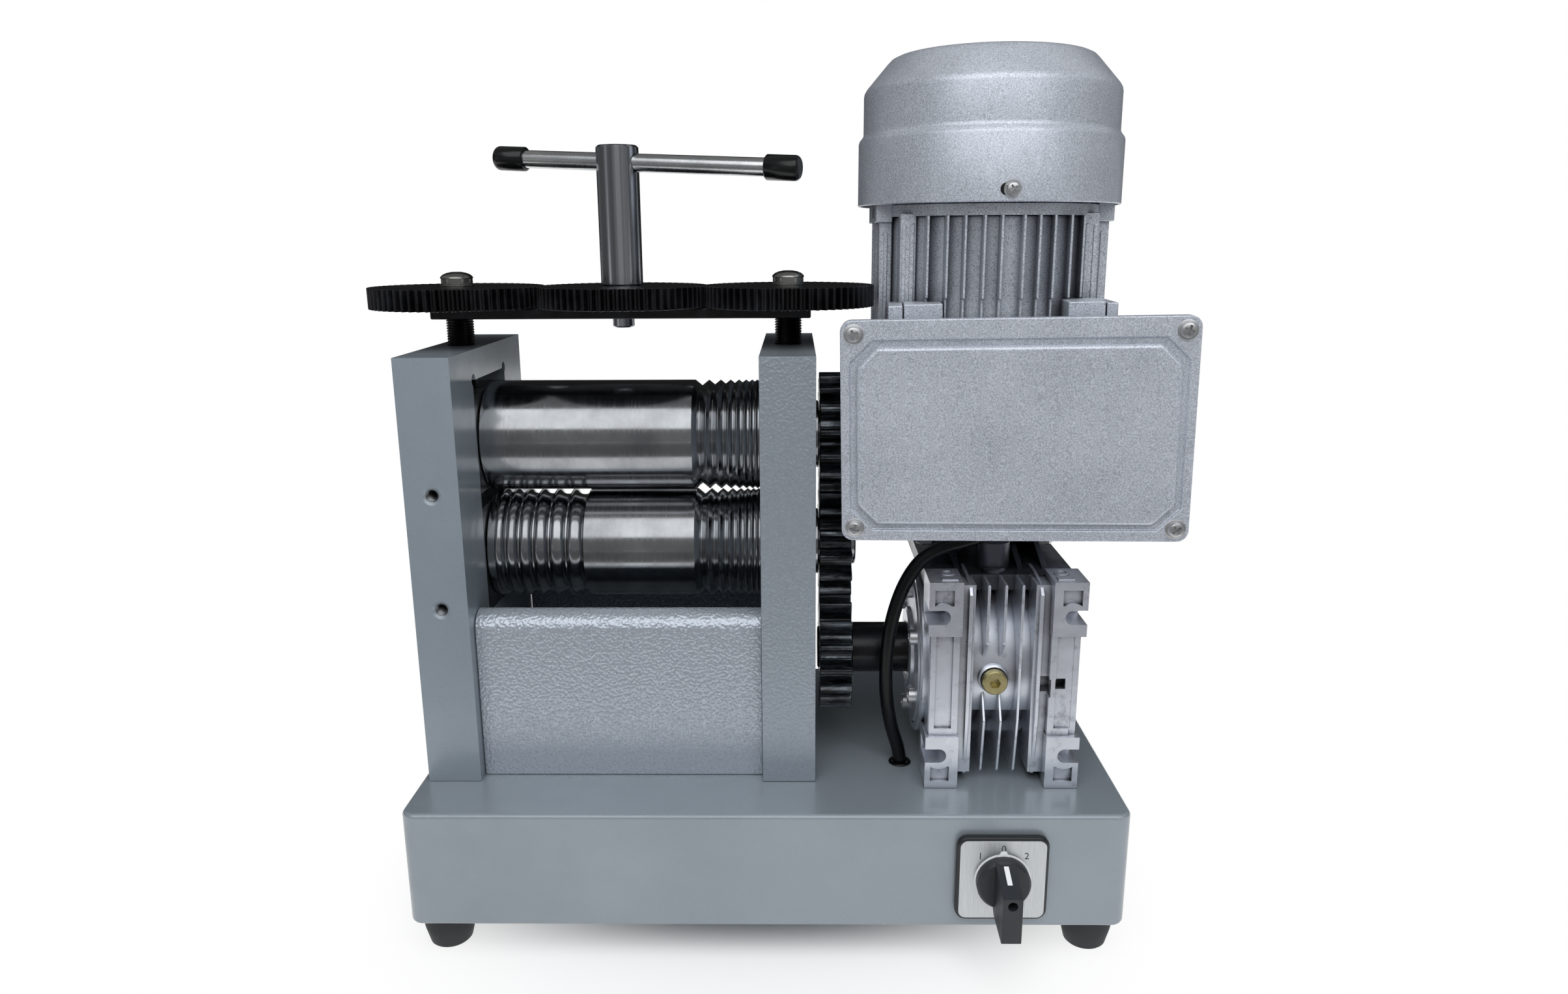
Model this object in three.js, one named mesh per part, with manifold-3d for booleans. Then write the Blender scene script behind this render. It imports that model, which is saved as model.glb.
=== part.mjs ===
// Electric rolling mill: two grooved steel rolls in a screwed-down frame, turned by a geared motor.
// Millimetres. X runs along the rolls towards the motor, Y away from the operator, Z up from the ground.
// Heights named "above the deck" count from the top face of the base.
import * as THREE from 'three';
import { mergeVertices } from 'three/addons/utils/BufferGeometryUtils.js';
import Module from 'manifold-3d';

const wasm = await Module();
wasm.setup();

// Fits and facets shared by all pieces
const seatGap = 0.3; // between faces that rest on each other
const turnGap = 0.3; // radial, between a turning piece and its bore
const overrun = 3; // how far a cut runs past the face that it opens
const sides = 24;
const rollSides = 20;
const motorSides = 24;
const smallSides = 12;
const hexSides = 6;
const halfTurn = Math.PI;
const fullTurn = 2 * Math.PI;
const quarterTurn = Math.PI / 2;
const degree = Math.PI / 180;

// Base and feet
const baseLeftMargin = 5; // beside the left frame
const baseRightMargin = 24.5; // beside the gearbox
const baseDepth = 204;
const baseHeight = 68;
const baseWall = 5;
const deckThickness = 8;
const baseCornerRadius = 8;
const baseEdgeRadius = 2.5;
const postSide = 20; // corner posts inside, that the feet screw into
const coverThickness = 3;
const footHeight = 20;
const footTopRadius = 15;
const footWaistRadius = 14;
const footGroundRadius = 11.5;
const footInsetX = 17;
const footInsetY = 19;
const footBoreRadius = 4;
const footBoreDepth = 9;

// Height adjustment: pressure screws, their gears, the strap and the T handle
const adjustModule = 1.5;
const adjustTeeth = 64;
const adjustThickness = 12;
const adjustClearance = 0.4; // below a tooth tip
const adjustRootShare = 0.31; // half a tooth at its root, as a share of the tooth pitch
const adjustTipShare = 0.13;
const screwRadius = 8;
const screwNeckRadius = 6.5;
const strapWidth = 26;
const strapThickness = 6;
const strapRise = 15.5; // above the frames
const strapOverhang = 13; // past a screw's centre
const capRadius = 9.6;
const capHeight = 8;
const capRimHeight = 4.5;
const capShoulderShare = 0.75; // of the dome's rise, at its shoulder
const capStudRadius = 3.7;
const capStudLength = 14;
const postRadius = 12;
const postRise = 77.2; // above the adjusting gears
const postNeckRadius = 9;
const pivotRadius = 6.2;
const pivotDrop = 5.5; // below the strap
const barRadius = 5;
const barDrop = 9; // where it crosses the post, below the post's top
const barTurn = -17 * degree; // its right end comes towards the operator
const barDroop = 3.1 * degree; // and hangs lower than the left one
const barLeftReach = 75.5;
const barRightReach = 105.8;
const barHoleGap = 0.4;
const gripRadius = 6.8;
const gripLength = 19.5;
const gripEnd = 2; // closed end beyond the bar

// Side frames with their windows
const frameThickness = 30;
const frameDepth = 144;
const frameHeadHeight = 17; // above the window
const frameSetback = 37; // from the front of the base
const windowWidth = 66;
const windowFloorDrop = 35; // below the lower roll's axis
const windowLift = 7.7; // above the upper bearing block
const reliefRadius = 3.5; // drilled corners of the window
const guideHoleRadius = 4;
const guideHoleDepth = 22;
const guideHoleHeights = [15.9, 80.7]; // above the window's floor, on the left frame's front edge

// Rolls, their bearings and the springs that lift the upper one
const rollRadius = 32.5;
const rollGap = 1.3; // between the rolls at rest
const rollEndGap = 0.5;
const journalRadius = 20;
const journalPastFrame = 2.7; // on the gear side
const journalEndDrop = 1; // short of the left frame's outer face
const gearSeatRadius = 14;
const gearSeatPast = 3;
const bushWall = 4;
const blockReach = 29; // from a roll's axis to the end of its bearing block
const blockSideGap = 0.3;
const springRadius = 3.3; // to the middle of the wire
const springWire = 1.5;
const springTurns = 4;
const springOffset = 27; // from the roll's axis
const springPocketDepth = 10;
const springPocketGap = 0.5;
const squareGrooves = 8;
const squareFirstWidth = 8.1;
const squareShrinkShare = 0.85; // each groove against the one before
const squareDepthShare = 0.38; // against its width
const squareEndLand = 0.4; // between the last groove and the roll's end
const roundGrooves = 6;
const roundFirstWidth = 6;
const roundGrowth = 0.8; // each groove is wider than the one before
const roundLand = 0.8;
const roundStart = 4.6; // from the roll's left end
const roundDepthShare = 0.34;
const roundFacets = 3;

// Drive gears on the rolls and on the output shaft
const driveTeeth = 16;
const driveWidth = 19;
const driveTipRadius = 36.8;
const driveRootRadius = 26.9;
const driveFlankRadius = 32.4;
const driveHalfShares = [0.3, 0.215, 0.075]; // half a tooth from root to tip, of its pitch
const driveSpacing = 64.4; // from the output axis to the lower roll's axis
const driveLean = 74.3 * degree; // of the line between them, from level
const driveBoreGap = 0.3;

// Covers below the rolls
const skirtSetback = 8; // behind the front edge of the frames
const skirtRise = 10.6; // above the windows' floor
const skirtBend = 11;
const skirtFlat = 1; // flat top behind the bend
const skirtThickness = 1.5;
const skirtBendFacets = 6;

// Worm gearbox, standing on its end
const gearboxReach = 118.5; // its centre, from the right screw's axis
const gearboxWidth = 86;
const gearboxHeight = 122;
const gearboxFootReach = 62.1; // foot face, from the output axis
const wormDistance = 50; // from the output axis back to the worm
const railWidth = 18.5;
const railDepth = 26;
const railRecess = 3; // between the foot pads
const footPadHeight = 30;
const footPadTaper = 1.5;
const footSlotHeight = 41.7; // from the gearbox's middle
const footSlotRadius = 3.4;
const footSlotReach = 10.5;
const footSlotDepth = 12;
const footPocket = 9;
const footPocketOffset = 10.5; // from a slot to the pocket beside it
const footPocketDepth = 2.5;
const barrelWall = 10.6; // outside the worm wheel
const barrelSide = 3.5; // inside the foot width on each side
const finReach = 58; // forward, from the output axis
const finThickness = 2;
const finPitch = 9.5;
const finCount = 3;
const finShift = -1.5; // of the middle fin, from the gearbox's middle
const finEdge = 43; // half the height of a fin's front edge
const finHalfHeight = 57;
const finBackReach = 30; // forward reach of its top and bottom corners
const wheelSpaceRadius = 41;
const wheelSpaceWidth = 62;
const wormTubeRadius = 28;
const crownDrop = 3; // top of the casing behind the rails, below the rails' top
const crownHeight = 20;
const crownInset = 1; // inside the foot width on each side
const crownReach = 24; // back past the worm's axis
const wormBoreRadius = 17;
const wormFloor = 8;
const shaftBoreRadius = 17;
const inputFlangeRadius = 58;
const inputFlangeThickness = 12;
const inputFlangeRise = 19; // its face, above the gearbox
const outputCoverRadius = 45;
const outputCoverThickness = 5;
const outputHubRadius = 24;
const outputHubLength = 2.5;
const plugRadius = 6.8;
const plugHeadHeight = 5;
const plugStemRadius = 4.8;
const plugStemLength = 8;
const plugHexRadius = 2.9;
const plugHexDepth = 3;
const plugBossRadius = 9.5;
const plugBossHeight = 8;
const plugRise = 1; // above the gearbox's middle
const plugShift = -3.7; // from the gearbox's middle

// Output shaft, worm and wheel
const shaftRadius = 15;
const shaftSeatRadius = 12.5;
const shaftSeatStart = 1; // left of the pinion
const shaftSeatEnd = 3; // short of the gearbox's right side
const wheelTeeth = 30;
const wheelTipRadius = 39.4;
const wheelRootRadius = 34.4;
const wheelRootShare = 0.25;
const wheelTipShare = 0.07;
const wheelWidth = 10;
const wormRadius = 12.1; // of its round section, which runs off centre
const wormThrow = 2.3; // how far off centre
const wormTurns = 4;
const wormSteps = 5; // facets along each turn
const wormSides = 8;
const wormShaftRadius = 8;
const wormShaftTop = 3; // past the input flange's face

// Motor
const endShieldRadius = 62;
const endShieldThickness = 10;
const motorRadius = 57;
const motorWall = 6;
const motorLength = 166.4;
const motorTopWall = 8;
const motorFinRadius = 70;
const motorSideFinRadius = 73;
const motorFinThickness = 2.2;
const motorFinPitch = 9.4;
const motorFinCount = 10;
const motorSideFinCount = 6;
const cornerBack = 12; // all corner forms start here, beside the motor's axis
const shoulderAcross = 55.5; // its outer face, from the motor's axis
const shoulderWidth = 9;
const shoulderFront = 45; // its front face, from the motor's axis
const pillarAcross = 66;
const pillarWidth = 7.4;
const pillarFront = 27;
const lugAcross = 68;
const lugWidth = 9.4;
const lugDrop = 6.5; // below the housing's top
const lugRise = 15; // under the fan cover's skirt
const padLeftOuter = 65; // pads that carry the terminal box, from the lid's middle
const padLeftInner = 35.5;
const padRightInner = 31;
const padRightOuter = 57;
const padRise = 4.6; // above the lid
const padDrop = 42; // below the lid's middle
const statorOuterGap = 0.3;
const statorBoreRadius = 34;
const statorHeight = 90;
const statorRise = 38; // above the housing's lower end
const rotorRadius = 33;
const rotorShaftRadius = 9;
const rotorShaftRise = 34; // above the housing
const shieldBoreRadius = 10;
const fanHubRadius = 18;
const fanHubHeight = 14;
const fanBladeRadius = 62;
const fanBladeHeight = 24;
const fanBladeThickness = 2;
const fanBlades = 7;
const fanRise = 5; // above the housing
const hoodSkirtRadius = 76.7;
const hoodRadius = 73.9;
const hoodTopRadius = 58;
const hoodGap = 3; // above the housing
const hoodStepHeight = 37.5; // above its lower edge
const hoodConeHeight = 63.5;
const hoodHeight = 82.5;
const hoodStepRise = 2;
const hoodWall = 1.6;
const ventCount = 8;
const ventInner = 18;
const ventOuter = 50;
const ventWidth = 5;

// Terminal box on the motor
const boxShift = -2; // its middle, from the motor's axis
const boxReach = 121.6; // middle of the lid's front, from the motor's axis
const boxTurn = -5 * degree; // its right side comes towards the operator
const boxTilt = -1 * degree; // and sits a little higher than the left
const boxRise = 54.2; // its middle, above the motor's lower end
const lidWidth = 178.5;
const lidHeight = 115.7;
const lidThickness = 7;
const lidCornerRadius = 8;
const panelInset = 10.5;
const panelClip = 9;
const panelRise = 2;
const boxInset = 4; // of the box behind the lid, on each side
const boxDepth = 35;
const boxWall = 3;
const boxWireRadius = 8;

// Motor cable, held from the terminal box to the deck
const cableRadius = 4;
const cableSides = 8;
const cableSteps = 20;
const cableHoleGap = 0.6;
const cableEntry = 8; // into the box
const cableAcross = [
  -5.5, -5.5, -7.5, -13, -22.5, -33.5, -45, -54, -60, -62.3, -62, -59, -54.5,
]; // from the gearbox's centre
const cableBack = [53, 53, 53, 53, 52.5, 52.5, 53, 54, 55, 56, 57.5, 59.5, 60.7];
const cableHeightShares = [
  1, 0.931, 0.903, 0.88, 0.862, 0.841, 0.791, 0.694, 0.562, 0.425, 0.288, 0.162, 0.062,
]; // of its rise from the deck
const cableDeckAcross = -53;
const cableDeckY = 61;
const cableEndDrop = 20; // below the deck
const grommetFlange = 7.5;
const grommetNeck = 6;
const grommetLip = 2.5;

// Selector switch, and the inlet gland at the back
const switchInset = 70.4; // from the base's right side
const switchDrop = 35.2; // below the deck
const bezelWidth = 50;
const bezelDepth = 5;
const bezelCorner = 6;
const switchNeck = 38;
const switchNeckLength = 46;
const switchNeckGap = 0.5;
const knobRadius = 14.5;
const knobDepth = 6;
const knobStemRadius = 4;
const knobStemLength = 12;
const knobPlateGap = 0.8; // room for the faceplate
const leverWidth = 10;
const leverTop = 13;
const leverShoulder = 7; // height of its front edge above the knob's centre
const leverBottom = 19;
const leverReach = 29; // from the bezel
const glandInset = 59; // from the base's left side
const glandDrop = 34;
const glandHexRadius = 11;
const glandHexLength = 6;
const glandNutRadius = 9.5;
const glandNutLength = 12;
const glandStemRadius = 7.5;
const glandBoreRadius = 3.8;

// Places worked out from the sizes above
const deck = footHeight + baseHeight;
const adjustPitchRadius = adjustModule * adjustTeeth / 2;
const adjustTipRadius = adjustPitchRadius + adjustModule;
const adjustRootRadius = adjustPitchRadius - adjustModule - adjustClearance;
const screwSpacing = 4 * adjustPitchRadius;
const frameGap = screwSpacing - frameThickness;
const machineWidth = frameThickness / 2 + screwSpacing + gearboxReach + gearboxWidth / 2;
const baseWidth = baseLeftMargin + machineWidth + baseRightMargin;
const leftScrewX = baseLeftMargin + frameThickness / 2 - baseWidth / 2;
const rightScrewX = leftScrewX + screwSpacing;
const handleX = leftScrewX + screwSpacing / 2;
const gearboxX = rightScrewX + gearboxReach;
const leftInnerX = leftScrewX + frameThickness / 2;
const rightInnerX = rightScrewX - frameThickness / 2;
const rightOuterX = rightScrewX + frameThickness / 2;
const leftOuterX = leftScrewX - frameThickness / 2;
const axisY = frameSetback + frameDepth / 2;
const gearboxTopZ = deck + gearboxHeight;
const gearboxMidZ = deck + gearboxHeight / 2;
const outputZ = gearboxMidZ;
const outputY = axisY - driveSpacing * Math.cos(driveLean);
const lowerAxisZ = outputZ + driveSpacing * Math.sin(driveLean);
const upperAxisZ = lowerAxisZ + 2 * rollRadius + rollGap;
const blockTopZ = upperAxisZ + blockReach;
const windowFloorZ = lowerAxisZ - windowFloorDrop;
const windowTopZ = blockTopZ + windowLift;
const frameTopZ = windowTopZ + frameHeadHeight;
const strapZ = frameTopZ + strapRise;
const adjustZ = strapZ + strapThickness + seatGap;
const adjustTopZ = adjustZ + adjustThickness;
const postTopZ = adjustTopZ + postRise;
const barZ = postTopZ - barDrop;
const barrelRadius = wheelTipRadius + barrelWall;
const bushOuter = journalRadius + turnGap + bushWall;
const driveX = rightOuterX + journalPastFrame + seatGap;
const driveEndX = driveX + driveWidth;
const motorY = outputY + wormDistance;
const gearboxLeftX = gearboxX - gearboxWidth / 2;
const gearboxRightX = gearboxX + gearboxWidth / 2;
const barrelLeftX = gearboxLeftX + barrelSide;
const barrelRightX = gearboxRightX - barrelSide;
const gearboxFrontY = outputY - gearboxFootReach;
const inputFlangeZ = gearboxTopZ + inputFlangeRise;
const shieldTopZ = inputFlangeZ + seatGap + endShieldThickness;
const motorBottomZ = shieldTopZ + seatGap;
const motorTopZ = motorBottomZ + motorLength;
const hoodBottomZ = motorTopZ + hoodGap;
const boxX = gearboxX + boxShift;
const boxFrontY = motorY - boxReach;
const boxZ = motorBottomZ + boxRise;
const cableDeckX = gearboxX + cableDeckAcross;
const cableTopZ = boxZ - lidHeight / 2 + boxInset + cableEntry;
const boxBackDepth = lidThickness + seatGap + boxDepth;
const switchX = baseWidth / 2 - switchInset;
const switchZ = deck - switchDrop;
const glandX = glandInset - baseWidth / 2;
const knobBackY = -bezelDepth - knobPlateGap;
const hoodClearRadius = (hoodSkirtRadius - hoodWall) * Math.cos(Math.PI / motorSides) - seatGap;
const lugFront = Math.sqrt(hoodClearRadius ** 2 - lugAcross ** 2);
const plugX = gearboxX + plugShift;
const originX = (leftScrewX - adjustTipRadius + boxX + lidWidth * Math.cos(boxTurn) / 2) / 2;
const glandEndY = baseDepth + seatGap + glandHexLength + glandNutLength;
const originY = (glandEndY - bezelDepth - leverReach) / 2;

// Finishes
const finish = (color, metalness, roughness) => (
  new THREE.MeshStandardMaterial({ color, metalness, roughness })
);
const basePaint = finish(0x8f9498, 0.4, 0.45);
const framePaint = finish(0x989da1, 0.4, 0.45);
const hammerPaint = finish(0xa8acb0, 0.6, 0.4);
const polished = finish(0xc9cacb, 1, 0.15);
const groundSteel = finish(0x9fa1a4, 1, 0.35);
const blackSteel = finish(0x1c1d20, 0.5, 0.5);
const bronze = finish(0xb08a4e, 1, 0.4);
const castAluminium = finish(0xc2c5c8, 0.9, 0.35);
const motorPaint = finish(0xa9adb2, 0.6, 0.4);
const brass = finish(0xc2a765, 1, 0.3);
const blackPlastic = finish(0x17181a, 0, 0.4);
const rubber = finish(0x202224, 0, 0.8);
const copper = finish(0xa5603a, 0.8, 0.5);

// Closed mesh to solid, and back
function toSolid(geometry) {
  const bare = geometry.clone();
  bare.deleteAttribute('normal');
  bare.deleteAttribute('uv');
  const merged = mergeVertices(bare);
  return new wasm.Manifold(new wasm.Mesh({
    numProp: 3,
    vertProperties: new Float32Array(merged.attributes.position.array),
    triVerts: new Uint32Array(merged.index.array),
  }));
}

function toGeometry(solid) {
  const mesh = solid.getMesh();
  const geometry = new THREE.BufferGeometry();
  const places = new Float32Array(mesh.vertProperties);
  geometry.setAttribute('position', new THREE.BufferAttribute(places, mesh.numProp));
  geometry.setIndex(new THREE.BufferAttribute(new Uint32Array(mesh.triVerts), 1));
  geometry.computeVertexNormals();
  return geometry;
}

const join = (...solids) => solids.reduce((sum, next) => sum.add(next));
const cut = (body, ...tools) => tools.reduce((rest, tool) => rest.subtract(tool), body);

// Block between two corners
function block(x0, x1, y0, y1, z0, z1) {
  const geometry = new THREE.BoxGeometry(x1 - x0, y1 - y0, z1 - z0);
  return toSolid(geometry.translate((x0 + x1) / 2, (y0 + y1) / 2, (z0 + z1) / 2));
}

// Round bars along each axis
function rodZ(radius, x, y, z0, z1, facets = sides) {
  const geometry = new THREE.CylinderGeometry(radius, radius, z1 - z0, facets);
  return toSolid(geometry.rotateX(quarterTurn).translate(x, y, (z0 + z1) / 2));
}

function rodX(radius, y, z, x0, x1, facets = sides) {
  const geometry = new THREE.CylinderGeometry(radius, radius, x1 - x0, facets);
  return toSolid(geometry.rotateZ(quarterTurn).translate((x0 + x1) / 2, y, z));
}

function rodY(radius, x, z, y0, y1, facets = sides) {
  const geometry = new THREE.CylinderGeometry(radius, radius, y1 - y0, facets);
  return toSolid(geometry.translate(x, (y0 + y1) / 2, z));
}

// Turned solids from [radius, height] points: about Z, or about X with the heights running along X
function turnedGeometry(points, facets) {
  return new THREE.LatheGeometry(points.map(([r, h]) => new THREE.Vector2(r, h)), facets);
}

function turnedZ(points, facets = sides) {
  return toSolid(turnedGeometry(points, facets).rotateX(quarterTurn));
}

function turnedX(points, facets = sides) {
  return toSolid(turnedGeometry(points, facets).rotateX(quarterTurn).rotateY(quarterTurn));
}

// Outlines drawn out into solids: up along Z, along X from Y and Z, or along Y from X and Z
function shapeOf(points) {
  return new THREE.Shape(points.map(([a, b]) => new THREE.Vector2(a, b)));
}

function drawnZ(points, z0, z1) {
  const geometry = new THREE.ExtrudeGeometry(shapeOf(points), { depth: z1 - z0, bevelEnabled: false });
  return toSolid(geometry.translate(0, 0, z0));
}

function drawnX(points, x0, x1) {
  const geometry = new THREE.ExtrudeGeometry(shapeOf(points), { depth: x1 - x0, bevelEnabled: false });
  return toSolid(geometry.rotateX(quarterTurn).rotateZ(quarterTurn).translate(x0, 0, 0));
}

function drawnY(points, y0, y1) {
  const geometry = new THREE.ExtrudeGeometry(shapeOf(points), { depth: y1 - y0, bevelEnabled: false });
  return toSolid(geometry.rotateX(quarterTurn).translate(0, y1, 0));
}

// Corner points of a rectangle with round corners, about its centre
function roundedOutline(width, height, radius, facets = 3) {
  const points = [];
  for (let corner = 0; corner < 4; corner += 1) {
    const signX = corner === 0 || corner === 3 ? 1 : -1;
    const signY = corner < 2 ? 1 : -1;
    for (let i = 0; i <= facets; i += 1) {
      const angle = (corner + i / facets) * quarterTurn;
      const x = signX * (width / 2 - radius) + radius * Math.cos(angle);
      points.push([x, signY * (height / 2 - radius) + radius * Math.sin(angle)]);
    }
  }
  return points;
}

// Teeth around a circle: radii and half widths from root to tip, the widths as shares of the tooth pitch
function toothOutline(teeth, radii, halfShares, phase = 0) {
  const pitch = fullTurn / teeth;
  const points = [];
  for (let tooth = 0; tooth < teeth; tooth += 1) {
    const centre = tooth * pitch + phase;
    const rising = radii.map((radius, i) => [radius, centre - halfShares[i] * pitch]);
    const falling = radii.map((radius, i) => [radius, centre + halfShares[i] * pitch]).reverse();
    for (const [radius, angle] of [...rising, ...falling]) {
      points.push([radius * Math.cos(angle), radius * Math.sin(angle)]);
    }
  }
  return points;
}

const model = new THREE.Group();

function add(name, solid, material, parent = model) {
  const mesh = new THREE.Mesh(toGeometry(solid), material);
  mesh.name = name;
  parent.add(mesh);
  return mesh;
}

// Base: an open-bottomed housing with corner posts, closed below by a plate
function baseHousing() {
  const outline = new THREE.Shape(
    roundedOutline(baseWidth - 2 * baseEdgeRadius, baseDepth - 2 * baseEdgeRadius, baseCornerRadius)
      .map(([x, y]) => new THREE.Vector2(x, y + baseDepth / 2)),
  );
  const shell = toSolid(new THREE.ExtrudeGeometry(outline, {
    depth: baseHeight - 2 * baseEdgeRadius,
    bevelThickness: baseEdgeRadius,
    bevelSize: baseEdgeRadius,
    bevelSegments: 2,
  }).translate(0, 0, footHeight + baseEdgeRadius));
  const halfWidth = baseWidth / 2 - baseWall;
  const backY = baseDepth - baseWall;
  const ceiling = deck - deckThickness;
  const hollow = block(-halfWidth, halfWidth, baseWall, backY, footHeight - overrun, ceiling);
  const posts = [];
  for (const side of [-1, 1]) {
    for (const [y0, y1] of [[baseWall, baseWall + postSide], [backY - postSide, backY]]) {
      const inner = side * (halfWidth - postSide);
      const outer = side * halfWidth;
      const floor = footHeight + coverThickness + seatGap;
      posts.push(block(Math.min(inner, outer), Math.max(inner, outer), y0, y1, floor, ceiling));
    }
  }
  const neckHole = switchNeck / 2 + switchNeckGap;
  const switchHole = block(
    switchX - neckHole, switchX + neckHole, -overrun, baseWall + overrun,
    switchZ - neckHole, switchZ + neckHole,
  );
  const grommetHole = rodZ(
    grommetNeck + seatGap, cableDeckX, cableDeckY, ceiling - overrun, deck + overrun, smallSides,
  );
  const glandHole = rodY(
    glandStemRadius + seatGap, glandX, deck - glandDrop, backY - overrun, baseDepth + overrun, smallSides,
  );
  return cut(join(cut(shell, hollow), ...posts), switchHole, grommetHole, glandHole);
}

function baseCover() {
  const gap = baseWall + seatGap;
  const halfWidth = baseWidth / 2 - gap;
  return block(-halfWidth, halfWidth, gap, baseDepth - gap, footHeight, footHeight + coverThickness);
}

function foot() {
  const top = footHeight - seatGap;
  return turnedZ([
    [0, footBoreDepth],
    [footBoreRadius, footBoreDepth],
    [footBoreRadius, 0],
    [footGroundRadius, 0],
    [footWaistRadius, footHeight / 2],
    [footTopRadius, top],
    [0, top],
  ], smallSides);
}

// Side frame about its own screw axis, standing on the deck
function sideFrame(withGuideHoles) {
  const halfX = frameThickness / 2;
  const halfY = frameDepth / 2;
  const halfWindow = windowWidth / 2;
  const through = halfX + overrun;
  const plate = block(-halfX, halfX, axisY - halfY, axisY + halfY, deck + seatGap, frameTopZ);
  const opening = block(-through, through, axisY - halfWindow, axisY + halfWindow, windowFloorZ, windowTopZ);
  const reliefY = halfWindow - reliefRadius / 2;
  const corners = [-1, 1].flatMap((side) => [windowFloorZ, windowTopZ].map(
    (z) => rodX(reliefRadius, axisY + side * reliefY, z, -through, through, smallSides),
  ));
  const screwHole = rodZ(screwRadius + turnGap, 0, axisY, windowTopZ - overrun, frameTopZ + overrun);
  const guideHoles = withGuideHoles ? guideHoleHeights.map((height) => rodY(
    guideHoleRadius, 0, windowFloorZ + height, frameSetback - overrun, frameSetback + guideHoleDepth,
    smallSides,
  )) : [];
  return cut(plate, opening, ...corners, screwHole, ...guideHoles);
}

// Bearing block about its own screw axis, from floor to top, with pockets for the lift springs
function bearingBlock(axisZ, floor, top, pocketSide) {
  const halfX = frameThickness / 2;
  const halfY = windowWidth / 2 - blockSideGap;
  const body = block(-halfX, halfX, axisY - halfY, axisY + halfY, floor, top);
  const bore = rodX(bushOuter + seatGap, axisY, axisZ, -halfX - overrun, halfX + overrun, smallSides);
  const mouth = axisZ + pocketSide * blockReach;
  const bottom = mouth - pocketSide * springPocketDepth;
  const outside = mouth + pocketSide * overrun;
  const pocketRadius = springRadius + springWire / 2 + springPocketGap;
  const ends = [Math.min(bottom, outside), Math.max(bottom, outside)];
  const pockets = [-1, 1].map(
    (side) => rodZ(pocketRadius, 0, axisY + side * springOffset, ...ends, smallSides),
  );
  return cut(body, bore, ...pockets);
}

function bush(axisZ) {
  const halfX = frameThickness / 2;
  const sleeve = rodX(bushOuter, axisY, axisZ, -halfX, halfX, smallSides);
  return cut(sleeve, rodX(journalRadius + turnGap, axisY, axisZ, -halfX - overrun, halfX + overrun));
}

// Middle of a lift spring's wire, so many turns up from its lower end
function springHeight(turn) {
  const floor = lowerAxisZ + blockReach - springPocketDepth + seatGap;
  const roof = upperAxisZ - blockReach + springPocketDepth - seatGap;
  return floor + springWire / 2 + (roof - floor - springWire) * turn / springTurns;
}

// Least gap between the turns of a lift spring, measured on points of its wire half a turn or more apart
function springGap() {
  const pointsPerTurn = 24;
  const points = [];
  for (let i = 0; i <= springTurns * pointsPerTurn; i += 1) {
    const turn = i / pointsPerTurn;
    const angle = turn * fullTurn;
    points.push([springRadius * Math.cos(angle), springRadius * Math.sin(angle), springHeight(turn)]);
  }
  let least = Infinity;
  for (let i = 0; i < points.length; i += 1) {
    for (let j = i + pointsPerTurn / 2; j < points.length; j += 1) {
      const [dx, dy, dz] = [0, 1, 2].map((axis) => points[j][axis] - points[i][axis]);
      least = Math.min(least, Math.hypot(dx, dy, dz) - springWire);
    }
  }
  return least;
}

// Coil spring: one wire on a helix, its ends cut off level
function liftSpring() {
  const wireSides = 4;
  const stepsPerTurn = 6;
  const rings = springTurns * stepsPerTurn;
  const positions = [];
  for (let i = 0; i <= rings; i += 1) {
    const angle = i / stepsPerTurn * fullTurn;
    const height = springHeight(i / stepsPerTurn);
    for (let k = 0; k < wireSides; k += 1) {
      const around = k / wireSides * fullTurn;
      const radius = springRadius + springWire / 2 * Math.cos(around);
      positions.push(radius * Math.cos(angle), radius * Math.sin(angle));
      positions.push(height + springWire / 2 * Math.sin(around));
    }
  }
  const faces = [];
  for (let i = 0; i < rings; i += 1) {
    for (let k = 0; k < wireSides; k += 1) {
      const next = (k + 1) % wireSides;
      const a = i * wireSides + k;
      const b = i * wireSides + next;
      const c = a + wireSides;
      const d = b + wireSides;
      faces.push(a, c, b, b, c, d);
    }
  }
  const last = rings * wireSides;
  for (let k = 1; k < wireSides - 1; k += 1) {
    faces.push(0, k, k + 1);
    faces.push(last, last + k + 1, last + k);
  }
  const geometry = new THREE.BufferGeometry();
  geometry.setAttribute('position', new THREE.Float32BufferAttribute(positions, 3));
  geometry.setIndex(faces);
  return toSolid(geometry);
}

// Roll profile between the frames, as [radius, x] points from left to right
function squareGrooveProfile(endX) {
  const points = [];
  let width = squareFirstWidth;
  let total = 0;
  for (let i = 0; i < squareGrooves; i += 1) {
    total += width;
    width *= squareShrinkShare;
  }
  let x = endX - squareEndLand - total;
  width = squareFirstWidth;
  points.push([rollRadius, x]);
  for (let i = 0; i < squareGrooves; i += 1) {
    points.push([rollRadius - squareDepthShare * width, x + width / 2]);
    points.push([rollRadius, x + width]);
    x += width;
    width *= squareShrinkShare;
  }
  return points;
}

function roundGrooveProfile(startX) {
  const points = [];
  let x = startX + roundStart;
  for (let i = 0; i < roundGrooves; i += 1) {
    const width = roundFirstWidth + i * roundGrowth;
    for (let k = 0; k <= roundFacets; k += 1) {
      const angle = k / roundFacets * halfTurn;
      const depth = roundDepthShare * width * Math.sin(angle);
      points.push([rollRadius - depth, x + width / 2 * (1 - Math.cos(angle))]);
    }
    x += width + roundLand;
  }
  return points;
}

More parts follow.
